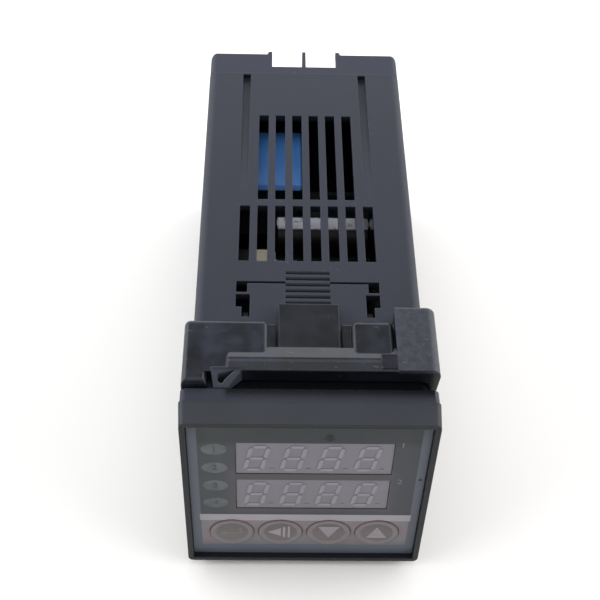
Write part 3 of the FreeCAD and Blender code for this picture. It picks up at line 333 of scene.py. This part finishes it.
def case_plastic():
    """Dark blue-grey case with a fine spark texture, painted shadow of the collar along the flange and
    painted shade in the rack's notches.
    """

    def clean(f):
        # Painted shadow of the collar on the flange band, left out at the left corner, and painted shade in
        # the rack's notches.
        corner = f.x.below(UNSHADED_CORNER[0], 0.7) * f.z.above(UNSHADED_CORNER[1], 1.0)
        flange = f.y.above(SHADED_FLANGE_BAND[0], 1.5) * f.y.below(SHADED_FLANGE_BAND[1], 0.2) * (1.0 - corner)
        notches = f.z.abs().between(*NOTCH_DEPTHS, 0.1) * f.x.abs().below(RACK_HALF, 0.1)
        return flange.high(notches * f.y.between(*NOTCH_BAND, 0.5) * 0.8)

    colour = tone(35, 38, 50)
    dusty = tone(84, 87, 98)
    return moulded_plastic("case_plastic", colour, dusty, 0.54, 0.28, 0.2, 0.016, 0.25, clean=clean)


def base_plastic():
    """The rear moulding, a shade bluer than the case."""
    colour = tone(37, 40, 55)
    dusty = tone(84, 87, 100)
    return moulded_plastic("base_plastic", colour, dusty, 0.54, 0.28, 0.25, 0.014, 0.25)


def bezel_plastic():
    """Smoother black moulding of the front, with painted light on its upper side that fades out by its rear
    edge, where the collar's shadow is painted.
    """

    def settled(f):
        # Painted light on the top face, falling off by the rear edge as painted shadow of the collar.
        return f.z.above(23.4, 0.3) * f.y.below(-2.5, 1.5)

    colour = tone(25, 27, 31)
    dusty = tone(82, 86, 94)
    return moulded_plastic("bezel_plastic", colour, dusty, 0.4, 0.18, 0.3, 0.008, 0.3, settled)


def collar_plastic():
    """Smooth satin black with bluish finger smudges, pale dust on the tall corner block, and painted light
    on the spring loop at the left.
    """
    f = Finish("collar_plastic")
    clouds = f.noise(9.0, 3.0, 0.55)
    fine = f.noise(0.3, 2.0, 0.6)
    edges = (f.edge_mask(0.5) * 2.0).low(1.0)
    rubbed = edges * f.noise(2.0, 3.0).above(0.5, 0.2)
    smudge = f.noise(4.5, 2.0, 0.5).above(0.52, 0.22)
    slanting = f.noise(0.45, 1.0, 0.5, (0.05, 1.0, 1.0), 25.0).above(0.73, 0.02)
    hairs = slanting * f.noise(5.0, 2.0).above(0.52, 0.05)
    tower = f.x.above(TOWER_INNER, 0.15) * f.z.above(TOWER_SHELF, 0.3)
    film = tower * (0.5 + f.noise(1.6, 4.0, 0.7).above(0.5, 0.2) * 0.5)
    specks = f.cells(0.55).below(0.12, 0.07) * (tower * 0.8 + f.noise(4.0).above(0.6, 0.04) * 0.5)
    base = f.shade(tone(17, 19, 24), 0.8 + clouds * 0.4)
    handled = f.x.below(-6.0, 3.0).high(f.x.between(7.0, 17.0, 0.5) * 0.6).high(0.15)
    blue = f.mix(smudge * handled * 0.5, base, tone(44, 48, 66))
    # Painted light: the spring loop's top is painted paler, as lit from above.
    lit_loop = f.x.between(-18.3, -11.6, 0.3) * f.y.below(2.9, 0.2) * f.z.above(22.3, 0.3)
    dusted_and_lit = f.mix((film * 0.6).high(lit_loop * 0.75), blue, tone(66, 70, 80))
    pale = (rubbed * 0.16 + hairs * 0.3 + specks * 0.5).low(1.0)
    colour = f.mix(pale, dusted_and_lit, tone(104, 108, 122))
    rough = 0.3 + smudge * 0.08 + film * 0.12 + (fine - 0.5) * 0.08 + pale * 0.08
    normal = f.bump(fine + clouds * 0.4, 0.008, f.soft_edge(0.35))
    return f.finish(colour, rough, normal, Specular_IOR_Level=0.3)


def overlay_film():
    """Printed film: a blue-grey border, a dark field, a pale line and a warm key field."""
    f = Finish("overlay_film")
    inside = f.x.between(*FILM_FIELD_X, 0.12) * f.z.above(FILM_FIELD_BOTTOM, 0.35)
    warm = f.z.below(FILM_LINE_Z[0], 0.1) * inside
    line = f.x.between(*FILM_LINE_X, 0.08) * f.z.between(*FILM_LINE_Z, 0.08)
    clouds = f.noise(9.0, 4.0, 0.6)
    upper = f.z.above(19.0, 3.5)
    border = f.shade(f.mix(upper, tone(85, 91, 103), tone(66, 72, 82)), 0.9 + clouds * 0.2)
    middle = f.x.between(-15.5, 17.0, 1.5) * f.z.between(-7.0, 7.5, 1.0)
    field = f.mix(middle, f.mix(f.z.above(16.0, 1.5), tone(55, 58, 65), tone(36, 42, 47)), tone(67, 66, 71))
    field = f.shade(field, 0.85 + clouds * 0.3)
    ruddy = f.noise(3.2, 2.0).above(0.52, 0.12)
    low = f.mix(ruddy, tone(118, 116, 120), tone(124, 108, 111))
    low = f.shade(f.mix(f.z.below(-17.8, 1.0) * 0.7, low, tone(100, 103, 112)), 0.9 + clouds * 0.2)
    colour = f.mix(inside, border, field)
    colour = f.mix(warm, colour, low)
    colour = f.mix(line, colour, f.shade(tone(150, 147, 154), 0.94 + clouds * 0.12))
    scuff_place = (f.x - FILM_SCUFF[0]).abs() / 1.5 + (f.z - FILM_SCUFF[1]).abs() / 1.5
    scuff = (scuff_place + (f.noise(0.9, 3.0, 0.7) - 0.5) * 3.0).below(0.75, 0.25)
    nick_place = (f.x - FILM_NICK[0]).abs() / 0.7 + (f.z - FILM_NICK[1]).abs() / 0.6
    nick = (nick_place + (f.noise(0.6) - 0.5) * 1.5).below(0.7, 0.2)
    marks = (scuff * 0.85).high(nick)
    colour = f.mix(marks, colour, tone(24, 26, 30))
    smear = f.noise(5.0, 3.0, 0.6, (1.0, 1.0, 0.3))
    fine = f.noise(0.3, 2.0)
    normal = f.bump(fine * 0.4 - marks * 1.0, 0.02)
    return f.finish(colour, 0.36 + smear * 0.14 + marks * 0.2, normal, Specular_IOR_Level=0.3)


def display_face():
    """Grey diffusing face of a display, slightly uneven."""
    f = Finish("display_face")
    clouds = f.noise(5.0, 3.0)
    colour = f.shade(tone(118, 116, 123), 0.9 + clouds * 0.2)
    return f.finish(colour, 0.46 + clouds * 0.1, f.bump(f.noise(0.35, 2.0), 0.006), Specular_IOR_Level=0.3)


def display_segment():
    """Pale cast segments that fade into the face at their edges; the points are dimmer."""
    f = Finish("display_segment")
    clouds = f.noise(1.2, 3.0)
    rows = [f.z.between(low, high, 0.05) for low, high in POINT_ROWS]
    columns = [f.x.between(x - 0.1, x + 0.9, 0.05) for x in POINT_PLACES]
    point = rows[0].high(rows[1]) * columns[0].high(columns[1]).high(columns[2]).high(columns[3])
    faded = (f.edge_mask(0.3) * 3.0).low(0.75).high(point * 0.8)
    bright = f.shade(tone(137, 135, 143), 0.9 + clouds * 0.2)
    colour = f.mix(faded, bright, tone(118, 116, 123))
    return f.finish(colour, 0.46 + clouds * 0.1, f.bump(f.noise(0.25), 0.005), Specular_IOR_Level=0.3)


def lamp_lens():
    """Frosted oval lens, paler in cloudy patches."""
    f = Finish("lamp_lens")
    clouds = f.noise(1.5, 3.0)
    colour = f.shade(f.mix(clouds.above(0.45, 0.15), tone(74, 80, 83), tone(88, 93, 95)), 0.9 + clouds * 0.2)
    normal = f.bump(f.noise(0.3), 0.008, f.soft_edge(0.15))
    return f.finish(colour, 0.42 + clouds * 0.12, normal, Specular_IOR_Level=0.3)


def key_plastic(name, centre):
    """Warm grey cap: paler on its ring, darker and browner in its dish, with painted shade over the dish's
    upper half and a painted reddish shadow round its edge.
    """
    f = Finish(name)
    across = f.x - centre[0]
    upward = f.z - centre[2]
    radius = (across * across + upward * upward) ** 0.5
    dish = radius.below(KEY_RADIUS - 1.15, 0.25)
    clouds = f.noise(1.8, 3.0)
    ring = f.shade(tone(120, 115, 117), 0.9 + clouds * 0.2)
    # Painted shade: the upper half of the dish is darker.
    middle = f.mix(upward.above(0.5, 2.5), tone(106, 99, 100), tone(96, 90, 92))
    colour = f.mix(dish, ring, f.shade(middle, 0.9 + clouds * 0.2))
    # Painted shadow: a reddish band round the cap's edge.
    rim_shadow = radius.above(KEY_RADIUS - 0.25, 0.12)
    colour = f.mix(rim_shadow * 0.6, colour, tone(112, 90, 92))
    normal = f.bump(f.noise(0.25), 0.008, f.soft_edge(0.2))
    return f.finish(colour, 0.4 + clouds * 0.12, normal, Specular_IOR_Level=0.3)


def ink(name, colour):
    """Printed ink, a little thin in places."""
    f = Finish(name)
    wear = f.noise(0.7, 3.0)
    printed = f.shade(colour, 0.86 + wear * 0.28)
    return f.finish(printed, 0.45 + wear * 0.1, f.bump(f.noise(0.2), 0.004), Specular_IOR_Level=0.3)


def board_laminate():
    """Dark green circuit board: tracks under the solder mask and small tinned pads."""
    f = Finish("board_laminate")
    along = (f.noise(2.2, 0.0, 0.5, (1.0, 0.25, 1.0)) - 0.5).abs().below(0.035, 0.015)
    up = (f.noise(2.4, 0.0, 0.5, (1.0, 1.0, 0.25)) - 0.5).abs().below(0.03, 0.015)
    tracks = along.high(up)
    pads = f.cells(2.54, "F1", 0.15).below(0.16, 0.03)
    green = f.shade(f.mix(tracks, tone(16, 40, 34), tone(28, 62, 48)), 0.85 + f.noise(8.0) * 0.3)
    colour = f.mix(pads, green, tone(150, 148, 138))
    return f.finish(colour, 0.38 + pads * 0.1, f.bump(tracks * 0.5 + pads, 0.03), pads * 0.8)


def glossy_plastic(name, colour, roughness, rounding=0.3, grain=0.5, depth=0.006):
    """Smooth moulded part with faint flow marks and dust."""
    f = Finish(name)
    clouds = f.noise(7.0, 3.0)
    dust = f.cells(1.3).below(0.08, 0.05) * 0.35
    base = f.mix(dust, f.shade(colour, 0.86 + clouds * 0.28), tone(170, 168, 160))
    normal = f.bump(f.noise(grain, 2.0), depth, f.soft_edge(rounding))
    return f.finish(base, roughness + clouds * 0.1 + dust * 0.2, normal)


def relay_blue():
    """Sealed blue relay, bright on its top with painted shade on its sides, with flow marks and dust."""
    f = Finish("relay_blue")
    clouds = f.noise(7.0, 3.0)
    # Painted shade: below its top the relay's blue is painted dark.
    base = f.mix(f.z.above(RELAY_TOP - RELAY_UNSHADED_DEPTH, 0.15), tone(24, 27, 38), tone(90, 158, 246))
    dust = f.cells(1.3).below(0.08, 0.05) * 0.3
    colour = f.mix(dust, f.shade(base, 0.86 + clouds * 0.28), tone(170, 168, 160))
    return f.finish(colour, 0.34 + clouds * 0.1, f.bump(f.noise(0.5, 2.0), 0.006, f.soft_edge(0.3)))


def capacitor_sleeve():
    """Nearly black shrunk sleeve with a painted highlight along its top, broken in patches."""
    f = Finish("capacitor_sleeve")
    # Painted highlight: a pale band along the sleeve's top, where the overhead light would glint.
    painted_highlight = f.z.above(CAPACITOR_TOP - HIGHLIGHT_DROP, 0.08)
    patchy = 1.0 - f.noise(1.4, 3.0).above(0.6, 0.05) * 0.5
    colour = f.mix(painted_highlight * patchy, tone(13, 14, 20), tone(236, 240, 252))
    shrunk = f.noise(2.2, 2.0, 0.5, (0.3, 1.0, 1.0))
    shaded = f.shade(colour, 0.86 + f.noise(5.0) * 0.28)
    return f.finish(shaded, 0.34 + shrunk * 0.08, f.bump(shrunk, 0.01), Specular_IOR_Level=0.3)


def plug_cream():
    """Cream connector with faint yellowing; left of X = -11.5 it is painted black as shade."""
    f = Finish("plug_cream")
    yellowed = f.mix(f.noise(3.0, 3.0), tone(246, 240, 222), tone(232, 222, 194))
    aged = f.shade(yellowed, 0.9 + f.noise(0.8) * 0.2)
    # Painted shade: the plug is black left of X = -11.5.
    colour = f.mix(f.x.above(-11.5, 0.1), tone(18, 18, 21), aged)
    return f.finish(colour, 0.42 + f.noise(1.2) * 0.1, f.bump(f.noise(0.5, 2.0), 0.006, f.soft_edge(0.15)))


def ferrite():
    """Dull sintered grey with small pits."""
    f = Finish("ferrite")
    pits = f.cells(0.6).below(0.16, 0.06)
    colour = f.shade(f.mix(pits, tone(72, 72, 76), tone(40, 40, 43)), 0.85 + f.noise(3.0) * 0.3)
    return f.finish(colour, 0.62 + pits * 0.15, f.bump(pits * -1.0, 0.05, f.soft_edge(0.2)))


def winding_tape():
    """Dark blue tape wound in overlapping turns."""
    f = Finish("winding_tape")
    lap = (f.x * 0.42 + f.noise(6.0) * 0.3).fraction()
    edge = lap.below(0.07, 0.04)
    colour = f.shade(f.mix(edge, tone(30, 34, 54), tone(18, 20, 32)), 0.85 + f.noise(2.0) * 0.3)
    return f.finish(colour, 0.26 + f.noise(1.5) * 0.15, f.bump(f.noise(0.8) * 0.3 - edge, 0.05))


def tinned_brass():
    """Bright tinned brass with dull handling marks and a little oxide."""
    f = Finish("contact_brass")
    stains = f.noise(1.6, 4.0, 0.65)
    brushed = f.noise(0.12, 1.0, 0.5, (1.0, 0.08, 1.0))
    colour = f.mix(stains.above(0.56, 0.08), tone(214, 204, 176), tone(150, 132, 92))
    rough = 0.26 + stains * 0.22 + brushed * 0.1
    shaded = f.shade(colour, 0.85 + brushed * 0.3)
    normal = f.bump(brushed, 0.004, f.soft_edge(0.12))
    return f.finish(shaded, rough, normal, 1.0 - stains.above(0.66, 0.05) * 0.3)


def zinc_steel():
    """Zinc-plated screws and washers: pale, slightly yellow, with stains and turning marks."""
    f = Finish("screw_steel")
    stains = f.noise(0.9, 4.0, 0.6)
    turned = f.noise(0.1, 1.0, 0.5, (1.0, 0.3, 1.0))
    colour = f.mix(stains.above(0.55, 0.1), tone(205, 203, 196), tone(168, 160, 140))
    rough = 0.24 + stains * 0.2 + turned * 0.08
    shaded = f.shade(colour, 0.86 + turned * 0.28)
    normal = f.bump(turned, 0.003, f.soft_edge(0.12))
    return f.finish(shaded, rough, normal, 1.0 - stains.above(0.68, 0.05) * 0.2)


def dress(node, material):
    """Puts a material on a CAD node."""
    mesh = frame["nodes"][node].data
    mesh.materials.clear()
    mesh.materials.append(material)


def dress_all():
    """One material for each material slot of the record, and its own for each key."""
    slots = {
        "case_plastic": case_plastic(),
        "base_plastic": base_plastic(),
        "collar_plastic": collar_plastic(),
        "bezel_plastic": bezel_plastic(),
        "overlay_film": overlay_film(),
        "display_face": display_face(),
        "display_segment": display_segment(),
        "lamp_lens": lamp_lens(),
        "lamp_chip": glossy_plastic("lamp_chip", tone(225, 220, 170), 0.3, 0.1),
        "switch_plastic": glossy_plastic("switch_plastic", tone(34, 34, 36), 0.35),
        "plunger_plastic": glossy_plastic("plunger_plastic", tone(30, 30, 32), 0.45),
        "board_laminate": board_laminate(),
        "header_plastic": glossy_plastic("header_plastic", tone(26, 26, 28), 0.5, 0.15),
        "relay_blue": relay_blue(),
        "capacitor_sleeve": capacitor_sleeve(),
        "ferrite": ferrite(),
        "winding_tape": winding_tape(),
        "plug_cream": plug_cream(),
        "chip_black": glossy_plastic("chip_black", tone(30, 31, 34), 0.55, 0.15, 0.15, 0.01),
        "contact_brass": tinned_brass(),
        "screw_steel": zinc_steel(),
    }
    for part in frame["record"]["subparts"]:
        node = part["node"]
        slot = part["material_slot"]
        if slot == "key_plastic":
            number = int(node[-1])
            dress(node, key_plastic("key_plastic_%d" % number, KEY_CENTRES[number - 1]))
        else:
            dress(node, slots[slot])


# ---- New pieces ----------------------------------------------------------------
def new_piece(name, points, faces, material, body):
    """A piece from points in millimetres, riding on a body and taking a slot's finish."""
    mesh = bpy.data.meshes.new(name)
    mesh.from_pydata((np.asarray(points) * MM).tolist(), [], faces)
    mesh.validate()
    mesh.update()
    piece = bpy.data.objects.new(name, mesh)
    bpy.context.scene.collection.objects.link(piece)
    mesh.materials.append(material)
    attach(piece, body)
    return piece


def smooth_faces(piece):
    """Shades a piece smoothly."""
    polygons = piece.data.polygons
    polygons.foreach_set("use_smooth", [True] * len(polygons))


def slab(outline, front, back):
    """Points and faces of a flat (x, z) outline between two depths along Y."""
    count = len(outline)
    xz = np.asarray(outline, float)
    near = np.column_stack([xz[:, 0], np.full(count, front), xz[:, 1]])
    far = np.column_stack([xz[:, 0], np.full(count, back), xz[:, 1]])
    ring = np.arange(count)
    after = (ring + 1) % count
    sides = np.column_stack([ring, ring + count, after + count, after]).tolist()
    faces = [ring.tolist(), (ring[::-1] + count).tolist()] + sides
    return np.vstack([near, far]), faces


def merged(shapes):
    """Several shapes, each its points and faces, as one."""
    points = []
    faces = []
    start = 0
    for more, new in shapes:
        faces += [[index + start for index in face] for face in new]
        points.append(more)
        start += len(more)
    return np.vstack(points), faces


def striped_triangle(width, height, stripes, gap, pointing):
    """Bars that together fill a triangle; pointing is 1 for up and -1 for down."""
    bars = []
    step = height / stripes
    for i in range(stripes):
        low = i * step
        high = (i + 1) * step - gap
        half_low = width / 2 * (1 - low / height)
        half_high = width / 2 * (1 - high / height)
        bar = [(-half_low, low), (half_low, low), (half_high, high), (-half_high, high)]
        bars.append([(x, (z - height / 2) * pointing) for x, z in bar][::pointing])
    return bars


def shift_symbol():
    """A triangle pointing left, cut by two upright bars."""
    head = [(-2.6, 0.0), (0.1, -1.45), (0.1, 1.45)]
    near = [(0.5, -1.75), (1.0, -2.0), (1.0, 2.0), (0.5, 1.75)]
    far = [(1.5, -2.15), (1.9, -2.15), (1.9, 2.15), (1.5, 2.15)]
    return [head, near, far]


def enter_symbol():
    """A bent arrow, plain sign for taking a value over."""
    stem = [(1.5, -0.1), (2.0, -0.1), (2.0, 1.6), (1.5, 1.6)]
    foot = [(-1.2, -0.6), (2.0, -0.6), (2.0, -0.1), (-1.2, -0.1)]
    head = [(-2.4, -0.35), (-1.2, -1.35), (-1.2, 0.65)]
    return [stem, foot, head]


def key_symbols():
    """Printed signs in the caps' dishes."""
    signs = [
        enter_symbol(),
        shift_symbol(),
        striped_triangle(4.4, 3.9, 5, 0.16, -1),
        striped_triangle(4.2, 3.9, 5, 0.16, 1),
    ]
    names = ["key_sign_enter", "key_sign_shift", "key_sign_down", "key_sign_up"]
    pale = ink("key_ink", tone(148, 143, 149))
    dim = ink("key_ink_dim", tone(110, 110, 104))
    for number, (name, outlines) in enumerate(zip(names, signs), 1):
        centre = KEY_CENTRES[number - 1]
        placed = [[(x + centre[0], z + centre[2]) for x, z in outline] for outline in outlines]
        prints = [slab(outline, KEY_DISH_FACE - INK_THICK, KEY_DISH_FACE) for outline in placed]
        points, faces = merged(prints)
        new_piece(name, points, faces, dim if number == 1 else pale, "key_%d" % number)


def numeral(name, text, height, place, front, material):
    """A printed numeral centred on a place on a front face, or on a rear face seen from behind."""
    curve = bpy.data.curves.new(name, "FONT")
    curve.body = text
    curve.align_x = "CENTER"
    curve.align_y = "CENTER"
    curve.size = 1.0
    curve.extrude = 0.5
    shape = bpy.data.objects.new(name + "_text", curve)
    bpy.context.scene.collection.objects.link(shape)
    bpy.context.view_layer.update()
    solid = bpy.data.meshes.new_from_object(shape.evaluated_get(bpy.context.evaluated_depsgraph_get()))
    bpy.data.objects.remove(shape)
    points = np.zeros(len(solid.vertices) * 3)
    solid.vertices.foreach_get("co", points)
    across, upward, outward = points.reshape(-1, 3).T
    faces = [list(polygon.vertices) for polygon in solid.polygons]
    size = height / (upward.max() - upward.min())
    x = (across - (across.max() + across.min()) / 2) * size
    z = (upward - (upward.max() + upward.min()) / 2) * size + place[2]
    lift = (outward + 0.5) * INK_THICK
    if front:
        placed = np.column_stack([place[0] + x, place[1] - lift, z])
    else:
        placed = np.column_stack([place[0] - x, place[1] + lift, z])
    return new_piece(name, placed, faces, material, "housing")


def printed_numerals():
    """Plain numerals on the lamps, beside the displays and beside the terminals."""
    dark = ink("lamp_ink", tone(64, 68, 70))
    pale = ink("label_ink", tone(112, 115, 118))
    for number, (low, high) in enumerate(LAMP_BOXES, 1):
        middle = (low + high) / 2
        place = (middle[0], low[1], middle[2])
        name = "lamp_numeral_%d" % number
        numeral(name, str(number), LAMP_NUMERAL_HEIGHT, place, True, dark)
    for number, place in enumerate(LABEL_PLACES, 1):
        name = "window_numeral_%d" % number
        place = (place[0], OVERLAY_FACE, place[1])
        numeral(name, str(number), LABEL_HEIGHT, place, True, pale)
    raised = ink("terminal_ink", tone(150, 150, 152))
    for number in range(1, 11):
        side = 1 if number < 6 else -1
        name = "terminal_numeral_%d" % number
        z = SCREW_PITCH * (2 - (number - 1) % 5)
        place = (side * TERMINAL_NUMERAL_X, TERMINAL_DECK, z)
        numeral(name, str(number), TERMINAL_NUMERAL_HEIGHT, place, False, raised)


# ---- Terminal screws -----------------------------------------------------------
def smooth(values, low, high):
    """Rises smoothly from 0 at low to 1 at high."""
    t = np.clip((values - low) / (high - low), 0, 1)
    return t * t * (3 - 2 * t)


def screw_surface(turn):
    """Rows of (x, y, z) points of a pan-headed screw, as radius and height over angle.

    The head is a dome: its height less 0.55 times the square and 0.75 times the
    eighth power of the radius's share of the head.  The deepest of a slot, a
    shorter arm across it and a round well is taken from it; each is a depth
    where the distances along and across its line are small, and falls smoothly
    to nothing.  The shank's radius is less by a triangle wave of height plus
    angle, which is a thread, and its end is flat.
    """
    angle = np.linspace(0, 2 * np.pi, SCREW_SIDES + 1)[:-1]
    rows = []
    for r in np.concatenate([np.linspace(0, 2.2, 34), np.linspace(2.3, HEAD_RADIUS, 8)]):
        share = r / HEAD_RADIUS
        dome = HEAD_HEIGHT - 0.55 * share ** 2 - 0.75 * share ** 8
        along = np.abs(r * np.cos(angle - turn))
        across = np.abs(r * np.sin(angle - turn))
        slot = (1 - smooth(across, 0.3, 0.42)) * (1 - smooth(along, 2.2, 2.45)) * 0.75
        arm = (1 - smooth(along, 0.36, 0.5)) * (1 - smooth(across, 1.25, 1.6)) * 0.95
        well = (1 - smooth(np.full(angle.shape, r), 0.55, 0.9)) * 1.15
        height = dome - np.maximum(np.maximum(slot, arm), well)
        rows.append((np.full(angle.shape, r), height))
    rows.append((np.full(angle.shape, HEAD_RADIUS), np.full(angle.shape, 0.0)))
    rows.append((np.full(angle.shape, SHANK_RADIUS), np.full(angle.shape, 0.0)))
    for y in np.linspace(-0.05, 0.3 - SHANK_LENGTH, 38):
        wave = np.abs(((y / THREAD_PITCH + angle / (2 * np.pi)) % 1.0) - 0.5) * 2
        rows.append((SHANK_RADIUS - THREAD_DEPTH * wave, np.full(angle.shape, y)))
    rows.append((np.full(angle.shape, 1.1), np.full(angle.shape, -SHANK_LENGTH)))
    rows.append((np.full(angle.shape, 0.0), np.full(angle.shape, -SHANK_LENGTH)))
    return [np.column_stack([r * np.cos(angle), y, r * np.sin(angle)]) for r, y in rows]


def round_grid(rows):
    """Points and faces of a closed surface from rings whose first and last are points."""
    count = len(rows[0])
    inner = rows[1:-1]
    points = np.vstack([rows[0][:1]] + inner + [rows[-1][:1]])
    last = len(points) - 1
    ring = np.arange(count)
    after = (ring + 1) % count
    faces = [[0, int(1 + b), int(1 + a)] for a, b in zip(ring, after)]
    for i in range(len(inner) - 1):
        start = 1 + i * count
        quads = np.column_stack([start + ring, start + after, start + count + after, start + count + ring])
        faces += quads.tolist()
    start = last - count
    faces += [[int(start + a), int(start + b), last] for a, b in zip(ring, after)]
    return points, faces


def terminal_screws():
    """Ten screws, each turned a little differently, in place of the plain ones."""
    screws = []
    random = np.random.default_rng(4)
    for side in (-1, 1):
        for step in range(-2, 3):
            points, faces = round_grid(screw_surface(random.uniform(0, np.pi)))
            place = np.array([side * SCREW_X, HEAD_BASE, step * SCREW_PITCH])
            screws.append((points + place, faces))
    points, faces = merged(screws)
    piece = new_piece("terminal_screw_set", points, faces, zinc_steel(), "housing")
    smooth_faces(piece)
    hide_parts("terminal_screws")


# ---- Stage and light -----------------------------------------------------------
def add_floor():
    """Large pale floor under the lowest pad of the collar."""
    f = Finish("floor_white")
    colour = f.shade(tone(244, 243, 240), 0.99 + f.noise(300.0) * 0.02)
    material = f.finish(colour, 0.9)
    signs = [(-1, -1), (1, -1), (1, 1), (-1, 1)]
    corners = [(x * FLOOR_REACH, y * FLOOR_REACH, FLOOR_Z) for x, y in signs]
    mesh = bpy.data.meshes.new("floor")
    mesh.from_pydata([tuple(c * MM for c in corner) for corner in corners], [], [(0, 1, 2, 3)])
    mesh.materials.append(material)
    floor = bpy.data.objects.new("floor", mesh)
    bpy.context.scene.collection.objects.link(floor)


def add_light(name, place, aim, width, height, power, colour=(1.0, 1.0, 1.0)):
    """A soft light panel aimed at a point, in metres and watts."""
    data = bpy.data.lights.new(name, "AREA")
    data.shape = "RECTANGLE"
    data.size = width
    data.size_y = height
    data.energy = power
    data.color = colour
    lamp = bpy.data.objects.new(name, data)
    bpy.context.scene.collection.objects.link(lamp)
    ahead = (Vector(aim) - Vector(place)).normalized()
    turn = ahead.to_track_quat("-Z", "Y").to_matrix().to_4x4()
    lamp.matrix_world = Matrix.Translation(Vector(place)) @ turn


def add_studio():
    """Dim even surroundings, and four soft panels: overhead, behind and at both sides."""
    world = bpy.data.worlds.new("world")
    bpy.context.scene.world = world
    world.use_nodes = True
    background = world.node_tree.nodes["Background"]
    background.inputs["Color"].default_value = (0.93, 0.96, 1.0, 1.0)
    background.inputs["Strength"].default_value = 0.12
    add_light("overhead_light", (-0.05, 0.0, 1.15), (0, 0.04, 0), 1.2, 1.2, 7.2, (1.0, 0.99, 0.97))
    add_light("backdrop_light", (0.0, 1.0, 0.35), (0, 0, 0), 1.8, 0.7, 9.5, (0.93, 0.96, 1.0))
    add_light("left_panel", (-0.9, 0.1, 0.42), (0, 0.05, 0.02), 1.6, 0.8, 14.0, (0.97, 0.98, 1.0))
    add_light("right_panel", (0.9, 0.1, 0.42), (0, 0.05, 0.02), 1.6, 0.8, 14.0, (1.0, 0.98, 0.99))
    view = bpy.context.scene.view_settings
    view.view_transform = "Standard"
    view.look = "None"


add_camera()
dress_all()
key_symbols()
printed_numerals()
terminal_screws()
add_floor()
add_studio()
